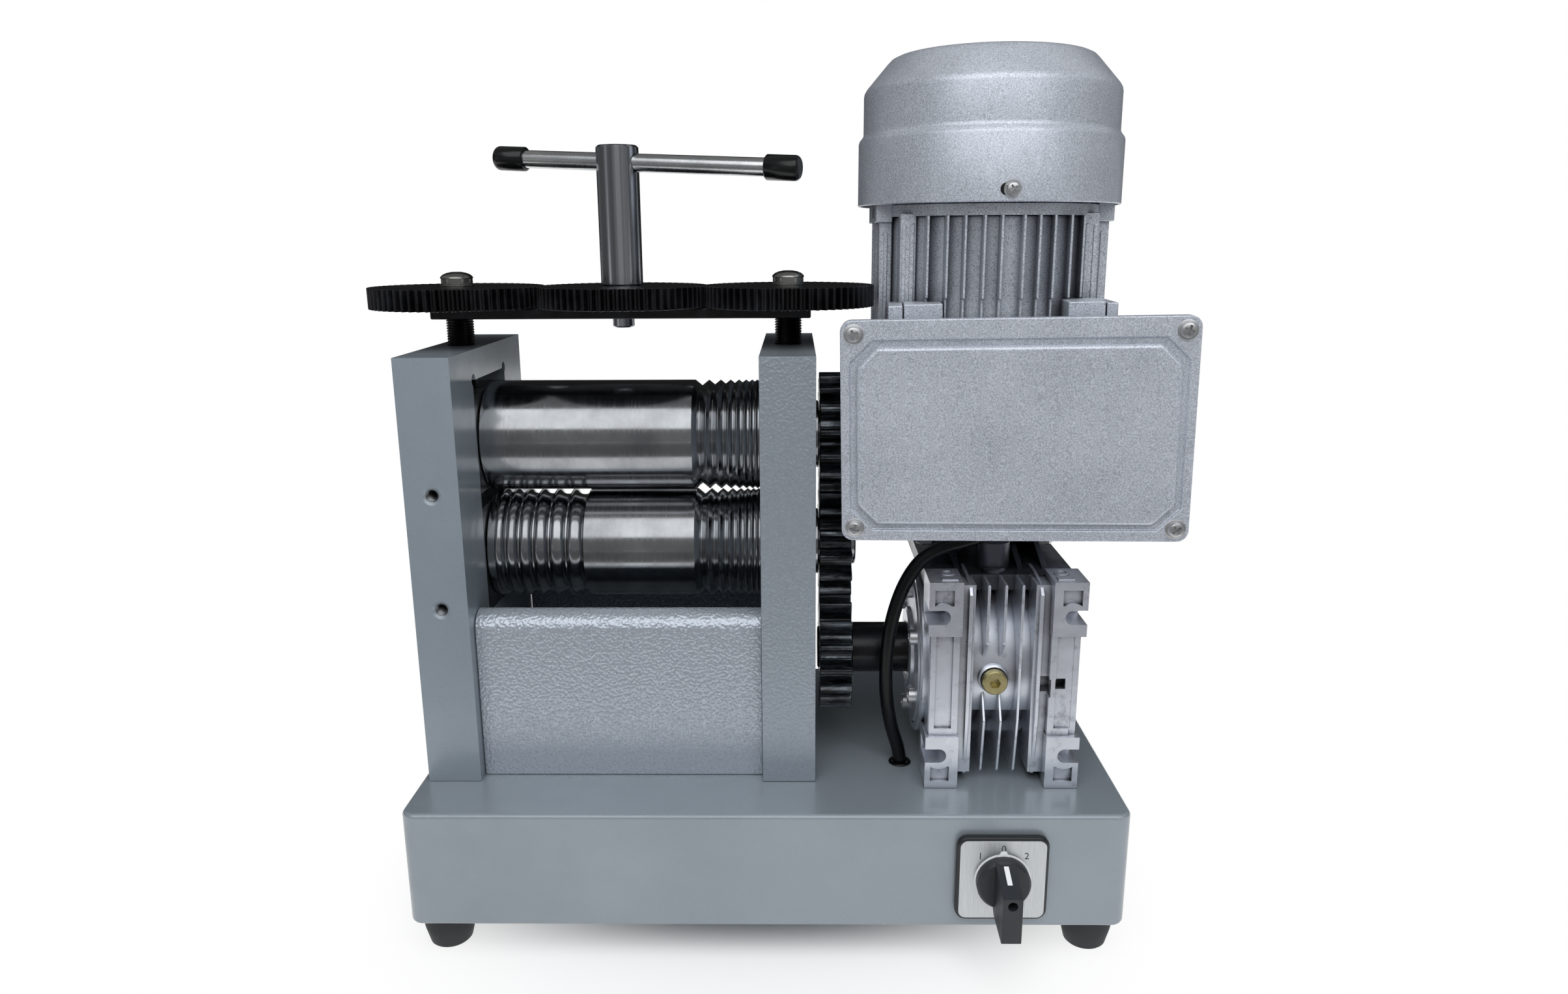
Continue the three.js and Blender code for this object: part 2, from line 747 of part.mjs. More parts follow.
function roll(axisZ, withRoundGrooves) {
  const startX = leftInnerX + rollEndGap;
  const endX = rightInnerX - rollEndGap;
  const journalEnd = rightOuterX + journalPastFrame;
  const seatEnd = driveEndX + gearSeatPast;
  const leftEnd = leftOuterX + journalEndDrop;
  const profile = [
    [0, leftEnd],
    [journalRadius, leftEnd],
    [journalRadius, startX],
    [rollRadius, startX],
    ...(withRoundGrooves ? roundGrooveProfile(startX) : []),
    ...squareGrooveProfile(endX),
    [rollRadius, endX],
    [journalRadius, endX],
    [journalRadius, journalEnd],
    [gearSeatRadius, journalEnd],
    [gearSeatRadius, seatEnd],
    [0, seatEnd],
  ];
  return turnedX(profile, rollSides).translate([0, axisY, axisZ]);
}

// Drive gear about X, its first tooth at the given angle from +Y towards +Z
function driveGear(y, z, boreRadius, phase) {
  const radii = [driveRootRadius, driveFlankRadius, driveTipRadius];
  const teeth = drawnX(toothOutline(driveTeeth, radii, driveHalfShares, phase), driveX, driveEndX);
  const gear = cut(teeth, rodX(boreRadius, 0, 0, driveX - overrun, driveEndX + overrun));
  return gear.translate([0, y, z]);
}

// Adjusting gear about its own axis
function adjustGear(boreRadius, phase) {
  const radii = [adjustRootRadius, adjustTipRadius];
  const outline = toothOutline(adjustTeeth, radii, [adjustRootShare, adjustTipShare], phase);
  const bore = rodZ(boreRadius, 0, 0, adjustZ - overrun, adjustTopZ + overrun, smallSides);
  return cut(drawnZ(outline, adjustZ, adjustTopZ), bore);
}

function pressureScrew() {
  const studEnd = adjustTopZ - capStudLength;
  const studBore = rodZ(capStudRadius + seatGap, 0, 0, studEnd, adjustTopZ + overrun, smallSides);
  const screw = turnedZ([
    [0, blockTopZ + seatGap],
    [screwRadius, blockTopZ + seatGap],
    [screwRadius, strapZ - seatGap],
    [screwNeckRadius, strapZ - seatGap],
    [screwNeckRadius, adjustTopZ],
    [0, adjustTopZ],
  ], smallSides);
  return cut(screw, studBore);
}

function gearCap() {
  const bottom = adjustTopZ + seatGap;
  const domeRadius = capRadius * Math.SQRT1_2;
  return turnedZ([
    [0, adjustTopZ - capStudLength + seatGap],
    [capStudRadius, adjustTopZ - capStudLength + seatGap],
    [capStudRadius, bottom],
    [capRadius, bottom],
    [capRadius, bottom + capRimHeight],
    [domeRadius, bottom + capRimHeight + capShoulderShare * (capHeight - capRimHeight)],
    [0, bottom + capHeight],
  ], smallSides);
}

function gearStrap() {
  const x0 = leftScrewX - strapOverhang;
  const x1 = rightScrewX + strapOverhang;
  const bar = block(x0, x1, axisY - strapWidth / 2, axisY + strapWidth / 2, strapZ, strapZ + strapThickness);
  const through = [strapZ - overrun, strapZ + strapThickness + overrun];
  const holes = [leftScrewX, rightScrewX].map(
    (x) => rodZ(screwNeckRadius + turnGap, x, axisY, ...through, smallSides),
  );
  return cut(bar, ...holes, rodZ(pivotRadius + turnGap, handleX, axisY, ...through, smallSides));
}

// Handle post with its pivot below, bored for the bar
function handlePost() {
  const shoulder = adjustTopZ + seatGap;
  const neckBottom = adjustZ;
  const post = turnedZ([
    [0, strapZ - pivotDrop],
    [pivotRadius, strapZ - pivotDrop],
    [pivotRadius, neckBottom],
    [postNeckRadius, neckBottom],
    [postNeckRadius, shoulder],
    [postRadius, shoulder],
    [postRadius, postTopZ],
    [0, postTopZ],
  ], smallSides);
  const hole = rodX(barRadius + barHoleGap, 0, 0, -postRadius - overrun, postRadius + overrun, smallSides)
    .rotate([0, barDroop / degree, 0])
    .rotate([0, 0, barTurn / degree])
    .translate([0, 0, barZ]);
  return cut(post, hole);
}

// Bar and its end grips, along X about the bar's crossing with the post
function bar() {
  return rodX(barRadius, 0, 0, -barLeftReach, barRightReach, smallSides);
}

function barGrip() {
  const bore = barRadius + seatGap;
  return turnedX([
    [0, 0],
    [bore, 0],
    [bore, gripEnd - gripLength],
    [gripRadius, gripEnd - gripLength],
    [gripRadius, gripEnd],
    [0, gripEnd],
  ], smallSides);
}

// Bent sheet below the rolls, drawn for the front; the rear one is its mirror image
function skirtOutline() {
  const front = frameSetback + skirtSetback;
  const top = windowFloorZ + skirtRise;
  const arc = (radius) => {
    const points = [];
    for (let i = 0; i <= skirtBendFacets; i += 1) {
      const angle = halfTurn - i / skirtBendFacets * quarterTurn;
      points.push([front + skirtBend + radius * Math.cos(angle), top - skirtBend + radius * Math.sin(angle)]);
    }
    return points;
  };
  const backY = front + skirtBend + skirtFlat;
  return [
    [front, deck + seatGap],
    ...arc(skirtBend),
    [backY, top],
    [backY, top - skirtThickness],
    ...arc(skirtBend - skirtThickness).reverse(),
    [front + skirtThickness, deck + seatGap],
  ];
}

function skirt(rear) {
  const mirrored = skirtOutline().map(([y, z]) => [rear ? 2 * axisY - y : y, z]);
  return drawnX(rear ? mirrored.reverse() : mirrored, leftInnerX + seatGap, rightInnerX - seatGap);
}

// Gearbox rail with two foot pads; side is -1 for the left rail and 1 for the right one
function gearboxRail(side) {
  const outer = gearboxX + side * gearboxWidth / 2;
  const inner = outer - side * railWidth;
  const x0 = Math.min(outer, inner);
  const x1 = Math.max(outer, inner);
  const floor = deck + seatGap;
  const front = gearboxFrontY;
  const back = front + railDepth;
  const rail = block(x0 + railRecess / 2, x1 - railRecess / 2, front + railRecess, back, floor, gearboxTopZ);
  const parts = [rail];
  const cuts = [];
  for (const end of [-1, 1]) {
    const tip = end < 0 ? floor : gearboxTopZ;
    const near = tip - end * footPadHeight;
    parts.push(block(x0, x1, front, back, Math.min(tip, near), Math.max(tip, near)));
    const slotZ = gearboxMidZ + end * footSlotHeight;
    const slotX = outer - side * footSlotReach;
    const depth = front + footSlotDepth;
    const past = outer + side * overrun;
    cuts.push(rodY(footSlotRadius, slotX, slotZ, front - overrun, depth, smallSides));
    cuts.push(block(
      Math.min(slotX, past), Math.max(slotX, past), front - overrun, depth,
      slotZ - footSlotRadius, slotZ + footSlotRadius,
    ));
    const pocketZ = slotZ + end * footPocketOffset;
    const half = footPocket / 2;
    cuts.push(block(
      slotX - half, slotX + half, front - overrun, front + footPocketDepth, pocketZ - half, pocketZ + half,
    ));
  }
  return cut(join(...parts), ...cuts);
}

function gearboxHousing() {
  const barrel = rodX(barrelRadius, outputY, outputZ, barrelLeftX, barrelRightX);
  const tube = rodZ(wormTubeRadius, gearboxX, motorY, deck + wormFloor, inputFlangeZ);
  const web = block(
    gearboxX - wormTubeRadius, gearboxX + wormTubeRadius, outputY, motorY, deck + wormFloor, gearboxTopZ,
  );
  const crown = block(
    gearboxLeftX + crownInset, gearboxRightX - crownInset,
    gearboxFrontY + railDepth - overrun, motorY + crownReach,
    gearboxTopZ - crownDrop - crownHeight, gearboxTopZ - crownDrop,
  );
  const flange = rodZ(inputFlangeRadius, gearboxX, motorY, inputFlangeZ - inputFlangeThickness, inputFlangeZ);
  const finOutline = [
    [outputY - finReach, outputZ + finEdge],
    [outputY - finReach, outputZ - finEdge],
    [outputY - finBackReach, outputZ - finHalfHeight],
    [outputY, outputZ - finHalfHeight],
    [outputY, outputZ + finHalfHeight],
    [outputY - finBackReach, outputZ + finHalfHeight],
  ];
  const fins = [];
  for (let i = 0; i < finCount; i += 1) {
    const x = gearboxX + finShift + (i - (finCount - 1) / 2) * finPitch;
    fins.push(drawnX(finOutline, x - finThickness / 2, x + finThickness / 2));
  }
  const plugZ = gearboxMidZ + plugRise;
  const bossY = outputY - barrelRadius - plugBossHeight;
  const boss = rodY(plugBossRadius, plugX, plugZ, bossY, outputY - barrelRadius / 2, smallSides);
  const plugSeat = bossY + plugHeadHeight;
  const halfSpace = wheelSpaceWidth / 2;
  const wheelSpace = rodX(wheelSpaceRadius, outputY, outputZ, barrelLeftX - overrun, gearboxX + halfSpace);
  const shaftBore = rodX(shaftBoreRadius, outputY, outputZ, gearboxX, gearboxRightX + overrun);
  const wormBore = rodZ(
    wormBoreRadius, gearboxX, motorY, deck + 2 * wormFloor, inputFlangeZ + overrun, smallSides,
  );
  const plugBore = rodY(plugStemRadius + seatGap, plugX, plugZ, bossY - overrun, outputY, smallSides);
  const body = join(barrel, tube, web, crown, flange, ...fins, boss, gearboxRail(-1), gearboxRail(1));
  const headClear = rodY(plugRadius + seatGap, plugX, plugZ, bossY - overrun, plugSeat, smallSides);
  const coverSeat = rodX(outputCoverRadius + seatGap, outputY, outputZ, gearboxLeftX - overrun, barrelLeftX);
  return cut(body, wheelSpace, shaftBore, wormBore, plugBore, headClear, coverSeat);
}

function oilPlug() {
  const plugZ = gearboxMidZ + plugRise;
  const seat = outputY - barrelRadius - plugBossHeight + plugHeadHeight - seatGap;
  const front = seat - plugHeadHeight;
  const head = rodY(plugRadius, plugX, plugZ, front, seat, smallSides);
  const stem = rodY(plugStemRadius, plugX, plugZ, seat - seatGap, seat + plugStemLength, smallSides);
  const socket = rodY(plugHexRadius, plugX, plugZ, front - overrun, front + plugHexDepth, hexSides);
  return cut(join(head, stem), socket);
}

function outputCover() {
  const x1 = barrelLeftX - seatGap;
  const x0 = x1 - outputCoverThickness;
  const disc = rodX(outputCoverRadius, outputY, outputZ, x0, x1);
  const hub = rodX(outputHubRadius, outputY, outputZ, x0 - outputHubLength, x1, smallSides);
  return cut(join(disc, hub), rodX(shaftRadius + turnGap, outputY, outputZ, x0 - 2 * overrun, x1 + overrun));
}

function outputShaft() {
  const seatStart = driveX - shaftSeatStart;
  const shoulder = driveEndX + seatGap;
  const insideX = gearboxX - wheelSpaceWidth / 2;
  const shaft = turnedX([
    [0, seatStart],
    [shaftSeatRadius, seatStart],
    [shaftSeatRadius, shoulder],
    [shaftRadius, shoulder],
    [shaftRadius, insideX],
    [shaftSeatRadius, insideX],
    [shaftSeatRadius, gearboxRightX - shaftSeatEnd],
    [0, gearboxRightX - shaftSeatEnd],
  ]);
  return shaft.translate([0, outputY, outputZ]);
}

// Worm wheel, a tooth gap facing the worm
function wormWheel() {
  const radii = [wheelRootRadius, wheelTipRadius];
  const phase = halfTurn / wheelTeeth;
  const x0 = gearboxX - wheelWidth / 2;
  const x1 = gearboxX + wheelWidth / 2;
  const disc = drawnX(toothOutline(wheelTeeth, radii, [wheelRootShare, wheelTipShare], phase), x0, x1);
  const wheel = cut(disc, rodX(shaftSeatRadius + seatGap, 0, 0, x0 - overrun, x1 + overrun));
  return wheel.translate([0, outputY, outputZ]);
}

// Worm: a round section whose centre circles the axis once a lead, between two journals
function worm() {
  const lead = fullTurn * (wormDistance - wormRadius) / wheelTeeth;
  const length = wormTurns * lead;
  const rings = wormTurns * wormSteps;
  const floor = outputZ - length / 2;
  const positions = [];
  for (let i = 0; i <= rings; i += 1) {
    const turn = -quarterTurn - (i / wormSteps - wormTurns / 2) * fullTurn;
    const z = floor + length * i / rings;
    for (let k = 0; k < wormSides; k += 1) {
      const around = k / wormSides * fullTurn;
      positions.push(wormThrow * Math.cos(turn) + wormRadius * Math.cos(around));
      positions.push(wormThrow * Math.sin(turn) + wormRadius * Math.sin(around), z);
    }
  }
  const faces = [];
  for (let i = 0; i < rings; i += 1) {
    for (let k = 0; k < wormSides; k += 1) {
      const a = i * wormSides + k;
      const b = i * wormSides + (k + 1) % wormSides;
      faces.push(a, b, a + wormSides, b, b + wormSides, a + wormSides);
    }
  }
  const last = rings * wormSides;
  for (let k = 1; k < wormSides - 1; k += 1) {
    faces.push(0, k + 1, k);
    faces.push(last, last + k, last + k + 1);
  }
  const geometry = new THREE.BufferGeometry();
  geometry.setAttribute('position', new THREE.Float32BufferAttribute(positions, 3));
  geometry.setIndex(faces);
  const bottom = deck + 2 * wormFloor + seatGap;
  const journal = rodZ(wormShaftRadius, 0, 0, bottom, inputFlangeZ - wormShaftTop, smallSides);
  return join(toSolid(geometry), journal).translate([gearboxX, motorY, 0]);
}

function endShield() {
  const disc = rodZ(endShieldRadius, gearboxX, motorY, inputFlangeZ + seatGap, shieldTopZ);
  const ends = [inputFlangeZ - overrun, shieldTopZ + overrun];
  const bore = rodZ(shieldBoreRadius, gearboxX, motorY, ...ends, smallSides);
  return cut(disc, bore);
}

// The terminal box has its own frame: the middle of its lid's front face is at the origin
function placeOnBox(solid) {
  return solid
    .rotate([0, boxTilt / degree, 0])
    .rotate([0, 0, boxTurn / degree])
    .translate([boxX, boxFrontY, boxZ]);
}

// The same upright block in each of the motor's four corners
function atCorners(across, width, front, z0, z1) {
  const blocks = [];
  for (const sideX of [-1, 1]) {
    for (const sideY of [-1, 1]) {
      const [x0, x1] = [across - width, across].map((x) => gearboxX + sideX * x).sort((a, b) => a - b);
      const [y0, y1] = [cornerBack, front].map((y) => motorY + sideY * y).sort((a, b) => a - b);
      blocks.push(block(x0, x1, y0, y1, z0, z1));
    }
  }
  return join(...blocks);
}

// Motor housing: a finned tube, closed at the top, with lugs for the fan cover and pads for the box
function motorHousing() {
  const core = rodZ(motorRadius, gearboxX, motorY, motorBottomZ, motorTopZ, motorSides);
  const fins = [];
  const half = motorFinThickness / 2;
  for (let i = 0; i < motorFinCount; i += 1) {
    const offset = (i - (motorFinCount - 1) / 2) * motorFinPitch;
    const reach = Math.sqrt(motorFinRadius ** 2 - offset ** 2);
    const x = gearboxX + offset;
    fins.push(block(x - half, x + half, motorY - reach, motorY + reach, motorBottomZ, motorTopZ));
  }
  for (let i = 0; i < motorSideFinCount; i += 1) {
    const offset = (i - (motorSideFinCount - 1) / 2) * motorFinPitch;
    const reach = Math.sqrt(motorSideFinRadius ** 2 - offset ** 2);
    const y = motorY + offset;
    fins.push(block(gearboxX - reach, gearboxX + reach, y - half, y + half, motorBottomZ, motorTopZ));
  }
  const corners = join(
    atCorners(shoulderAcross, shoulderWidth, shoulderFront, motorBottomZ, motorTopZ),
    atCorners(pillarAcross, pillarWidth, pillarFront, motorBottomZ, motorTopZ),
    atCorners(lugAcross, lugWidth, lugFront, motorTopZ - lugDrop, motorTopZ + lugRise),
  );
  const padFront = boxBackDepth + seatGap;
  const padBack = boxReach - motorRadius / 2;
  const padSpans = [[-padLeftOuter, -padLeftInner], [padRightInner, padRightOuter]];
  const pads = padSpans.map(([x0, x1]) => placeOnBox(block(
    x0, x1, padFront, padBack, -padDrop, lidHeight / 2 + padRise,
  )));
  const boreTop = motorTopZ - motorTopWall;
  const bore = rodZ(motorRadius - motorWall, gearboxX, motorY, motorBottomZ - overrun, boreTop, motorSides);
  const holeEnds = [boreTop - overrun, motorTopZ + overrun];
  const shaftHole = rodZ(shieldBoreRadius, gearboxX, motorY, ...holeEnds, smallSides);
  const aboveTop = motorTopZ + lugRise + overrun;
  const fanSpace = rodZ(fanBladeRadius + overrun, gearboxX, motorY, motorTopZ, aboveTop, motorSides);
  return cut(join(core, ...fins, corners, ...pads), bore, shaftHole, fanSpace);
}

function statorCore() {
  const floor = motorBottomZ + statorRise;
  const outer = motorRadius - motorWall - statorOuterGap - seatGap;
  const ring = rodZ(outer, gearboxX, motorY, floor, floor + statorHeight, motorSides);
  return cut(ring, rodZ(statorBoreRadius, gearboxX, motorY, floor - overrun, floor + statorHeight + overrun));
}

function rotor() {
  const floor = motorBottomZ + statorRise;
  const top = motorTopZ + rotorShaftRise;
  const bottom = inputFlangeZ - wormShaftTop + seatGap;
  return turnedZ([
    [0, bottom],
    [rotorShaftRadius, bottom],
    [rotorShaftRadius, floor],
    [rotorRadius, floor],
    [rotorRadius, floor + statorHeight],
    [rotorShaftRadius, floor + statorHeight],
    [rotorShaftRadius, top],
    [0, top],
  ], smallSides).translate([gearboxX, motorY, 0]);
}

function coolingFan() {
  const floor = motorTopZ + fanRise;
  const top = floor + fanBladeHeight;
  const hub = rodZ(fanHubRadius, 0, 0, floor, floor + fanHubHeight, smallSides);
  const blades = [];
  for (let i = 0; i < fanBlades; i += 1) {
    const half = fanBladeThickness / 2;
    const blade = block(fanHubRadius / 2, fanBladeRadius, -half, half, floor, top);
    blades.push(blade.rotate([0, 0, i / fanBlades * fullTurn / degree]));
  }
  const bore = rodZ(rotorShaftRadius + seatGap, 0, 0, floor - overrun, top + overrun, smallSides);
  return cut(join(hub, ...blades), bore).translate([gearboxX, motorY, 0]);
}

// Fan cover: a stepped thin shell, open below, with air slots through its top
function fanCover() {
  const bottom = hoodBottomZ;
  const step = bottom + hoodStepHeight;
  const cone = bottom + hoodConeHeight;
  const top = bottom + hoodHeight;
  const shell = turnedZ([
    [hoodSkirtRadius - hoodWall, bottom],
    [hoodSkirtRadius, bottom],
    [hoodSkirtRadius, step],
    [hoodRadius, step + hoodStepRise],
    [hoodRadius, cone],
    [hoodTopRadius, top],
    [0, top],
    [0, top - hoodWall],
    [hoodTopRadius - hoodWall / 2, top - hoodWall],
    [hoodRadius - hoodWall, cone - hoodWall / 2],
    [hoodRadius - hoodWall, step],
    [hoodSkirtRadius - hoodWall, step - hoodStepRise],
    [hoodSkirtRadius - hoodWall, bottom],
  ], motorSides);
  const vents = [];
  for (let i = 0; i < ventCount; i += 1) {
    const slot = block(ventInner, ventOuter, -ventWidth / 2, ventWidth / 2, top - overrun, top + overrun);
    vents.push(slot.rotate([0, 0, (i + 1 / 2) / ventCount * fullTurn / degree]));
  }
  return cut(shell, ...vents).translate([gearboxX, motorY, 0]);
}

// Terminal box behind its lid, open to the front
function terminalBox() {
  const halfX = lidWidth / 2 - boxInset;
  const halfZ = lidHeight / 2 - boxInset;
  const front = lidThickness + seatGap;
  const back = front + boxDepth;
  const body = block(-halfX, halfX, front, back, -halfZ, halfZ);
  const innerX = halfX - boxWall;
  const innerZ = halfZ - boxWall;
  const hollow = block(-innerX, innerX, front - overrun, back - boxWall, -innerZ, innerZ);
  const wireHole = rodY(boxWireRadius, 0, 0, back - 2 * boxWall, back + overrun, smallSides);
  const start = cableRoute()[0];
  const cableRoom = cableRadius + cableHoleGap;
  const cableTop = boxZ - innerZ + 2 * boxWall;
  const cableHole = rodZ(cableRoom, start.x, start.y, boxZ - lidHeight / 2, cableTop, smallSides);
  return cut(placeOnBox(cut(body, hollow, wireHole)), cableHole);
}

function terminalLid() {
  const plate = drawnY(roundedOutline(lidWidth, lidHeight, lidCornerRadius), 0, lidThickness);
  const width = lidWidth - 2 * panelInset;
  const height = lidHeight - 2 * panelInset;
  const clipFacets = 1;
  const panel = drawnY(roundedOutline(width, height, panelClip, clipFacets), -panelRise, lidThickness / 2);
  const inner = roundedOutline(width - 2 * boxWall, height - 2 * boxWall, panelClip, clipFacets);
  return placeOnBox(cut(join(plate, panel), drawnY(inner, boxWall - panelRise, lidThickness + overrun)));
}

// Cable route from inside the terminal box, past the gearbox, through the deck
function cableRoute() {
  const deckRun = [0, cableEndDrop].map((drop) => new THREE.Vector3(cableDeckX, cableDeckY, deck - drop));
  const bends = cableHeightShares.map((share, i) => (
    new THREE.Vector3(gearboxX + cableAcross[i], cableBack[i], deck + share * (cableTopZ - deck))
  ));
  return [...bends, ...deckRun];
}

function motorCable() {
  const curve = new THREE.CatmullRomCurve3(cableRoute(), false, 'centripetal');
  const section = new THREE.Shape();
  for (let k = 0; k < cableSides; k += 1) {
    const angle = k / cableSides * fullTurn;
    const x = cableRadius * Math.cos(angle);
    const y = cableRadius * Math.sin(angle);
    if (k === 0) section.moveTo(x, y);
    else section.lineTo(x, y);
  }
  section.closePath();
  return toSolid(new THREE.ExtrudeGeometry(section, { steps: cableSteps, extrudePath: curve }));
}

function grommet() {
  const bore = cableRadius + cableHoleGap;
  const bottom = deck - deckThickness / 2;
  const seat = deck + seatGap;
  const points = [
    [bore, bottom],
    [grommetNeck, bottom],
    [grommetNeck, seat],
    [grommetFlange, seat],
    [grommetFlange, seat + grommetLip],
    [bore, seat + grommetLip],
    [bore, bottom],
  ];
  return turnedZ(points, smallSides).translate([cableDeckX, cableDeckY, 0]);
}

// Switch body: a square bezel outside, its block inside the base, bored for the knob's stem
function switchBody() {
  const outline = roundedOutline(bezelWidth, bezelWidth, bezelCorner);
  const bezel = drawnY(outline, -bezelDepth, -seatGap).translate([switchX, 0, switchZ]);
  const half = switchNeck / 2;
  const neck = block(
    switchX - half, switchX + half, -bezelDepth / 2, switchNeckLength, switchZ - half, switchZ + half,
  );
  const bore = rodY(
    knobStemRadius + turnGap, switchX, switchZ, -bezelDepth - overrun, knobStemLength + overrun, smallSides,
  );
  return cut(join(bezel, neck), bore);
}

// Knob with a lever that stands out and hangs below its centre
function switchKnob() {
  const front = -bezelDepth - leverReach;
  const disc = rodY(knobRadius, 0, 0, knobBackY - knobDepth, knobBackY);
  const stem = rodY(knobStemRadius, 0, 0, knobBackY - knobDepth / 2, knobStemLength, smallSides);
  const lever = drawnX([
    [knobBackY, leverTop],
    [knobBackY, -leverTop],
    [knobBackY - knobDepth, -leverBottom + knobDepth / 2],
    [front, -leverBottom],
    [front, leverShoulder],
    [knobBackY - knobDepth, leverTop],
  ], -leverWidth / 2, leverWidth / 2);
  return join(disc, stem, lever);
}

function mainsGland() {
  const outside = baseDepth + seatGap;
  const hexEnd = outside + glandHexLength;
  const inside = baseDepth - 2 * baseWall;
  const hex = rodY(glandHexRadius, 0, 0, outside, hexEnd, hexSides);
  const nut = rodY(glandNutRadius, 0, 0, outside, hexEnd + glandNutLength, smallSides);
  const stem = rodY(glandStemRadius, 0, 0, inside, hexEnd, smallSides);
  const bore = rodY(glandBoreRadius, 0, 0, inside - overrun, hexEnd + glandNutLength + overrun, smallSides);
  return cut(join(hex, nut, stem), bore);
}

// Everything bolted to the base
add('base_housing', baseHousing(), basePaint);
add('base_cover', baseCover(), basePaint);
for (const [endName, y] of [['front', footInsetY], ['rear', baseDepth - footInsetY]]) {
  for (const [sideName, sign] of [['left', -1], ['right', 1]]) {
    const x = sign * (baseWidth / 2 - footInsetX);
    add(`foot_${endName}_${sideName}`, foot(), rubber).position.set(x, y, 0);
  }
}
add('left_frame', sideFrame(true), framePaint).position.x = leftScrewX;
add('right_frame', sideFrame(false), framePaint).position.x = rightScrewX;
add('front_skirt', skirt(false), hammerPaint);
add('rear_skirt', skirt(true), hammerPaint);

// Rolls in their bearings, with the springs that lift the upper one
console.log('Least gap between turns of a lift spring, mm:', springGap().toFixed(2));
add('lower_roll', roll(lowerAxisZ, true), polished);
add('upper_roll', roll(upperAxisZ, false), polished);
for (const [sideName, x] of [['left', leftScrewX], ['right', rightScrewX]]) {
  const lowerFloor = windowFloorZ + seatGap;
  const lowerBlock = bearingBlock(lowerAxisZ, lowerFloor, lowerAxisZ + blockReach, 1);
  const upperBlock = bearingBlock(upperAxisZ, upperAxisZ - blockReach, blockTopZ, -1);
  add(`lower_${sideName}_block`, lowerBlock, groundSteel).position.x = x;
  add(`upper_${sideName}_block`, upperBlock, groundSteel).position.x = x;
  add(`lower_${sideName}_bush`, bush(lowerAxisZ), bronze).position.x = x;
  add(`upper_${sideName}_bush`, bush(upperAxisZ), bronze).position.x = x;
  add(`${sideName}_front_spring`, liftSpring(), groundSteel).position.set(x, axisY - springOffset, 0);
  add(`${sideName}_rear_spring`, liftSpring(), groundSteel).position.set(x, axisY + springOffset, 0);
}

// Height adjustment
const halfAdjustTooth = halfTurn / adjustTeeth;
for (const [sideName, x] of [['left', leftScrewX], ['right', rightScrewX]]) {
  add(`${sideName}_pressure_screw`, pressureScrew(), blackSteel).position.set(x, axisY, 0);
  const gear = adjustGear(screwNeckRadius + seatGap, halfAdjustTooth);
  add(`${sideName}_adjusting_gear`, gear, blackSteel).position.set(x, axisY, 0);
  add(`${sideName}_gear_cap`, gearCap(), groundSteel).position.set(x, axisY, 0);
}
add('gear_strap', gearStrap(), blackSteel);
const centreGear = adjustGear(postNeckRadius + seatGap, 0);
add('centre_adjusting_gear', centreGear, blackSteel).position.set(handleX, axisY, 0);
add('handle_post', handlePost(), polished).position.set(handleX, axisY, 0);
const barFrame = new THREE.Group();
barFrame.position.set(handleX, axisY, barZ);
barFrame.rotation.set(0, barDroop, barTurn, 'ZYX');
model.add(barFrame);
add('handle_bar', bar(), polished, barFrame);
add('right_grip', barGrip(), blackPlastic, barFrame).position.x = barRightReach + seatGap;
const leftGrip = add('left_grip', barGrip(), blackPlastic, barFrame);
leftGrip.position.x = -barLeftReach - seatGap;
leftGrip.rotation.y = halfTurn;

// Drive
const halfDriveTooth = halfTurn / driveTeeth;
const rollBore = gearSeatRadius + driveBoreGap;
add('lower_roll_gear', driveGear(axisY, lowerAxisZ, rollBore, quarterTurn), blackSteel);
add('upper_roll_gear', driveGear(axisY, upperAxisZ, rollBore, quarterTurn + halfDriveTooth), blackSteel);
const pinionPhase = 2 * driveLean - quarterTurn + halfDriveTooth;
add('drive_pinion', driveGear(outputY, outputZ, shaftSeatRadius + driveBoreGap, pinionPhase), blackSteel);
add('output_shaft', outputShaft(), blackSteel);
add('gearbox_housing', gearboxHousing(), castAluminium);
add('output_cover', outputCover(), castAluminium);
add('oil_plug', oilPlug(), brass);
add('worm_wheel', wormWheel(), bronze);
add('worm', worm(), groundSteel);
add('motor_end_shield', endShield(), motorPaint);
add('motor_housing', motorHousing(), motorPaint);
add('stator_core', statorCore(), copper);
add('rotor', rotor(), groundSteel);
add('cooling_fan', coolingFan(), blackPlastic);
add('fan_cover', fanCover(), motorPaint);

// Electrics
add('terminal_box', terminalBox(), motorPaint);
add('terminal_lid', terminalLid(), motorPaint);
add('motor_cable', motorCable(), blackPlastic);
add('cable_grommet', grommet(), rubber);
add('switch_body', switchBody(), blackPlastic);
add('switch_knob', switchKnob(), blackPlastic).position.set(switchX, 0, switchZ);
add('mains_gland', mainsGland(), blackPlastic).position.set(glandX, 0, deck - glandDrop);

model.position.set(-originX, -originY, 0);

export default model;
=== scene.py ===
"""Electric rolling mill: detailed pieces, materials, lights and camera over the fixed frame."""
import math

import bmesh
import bpy
from mathutils import Matrix, Vector


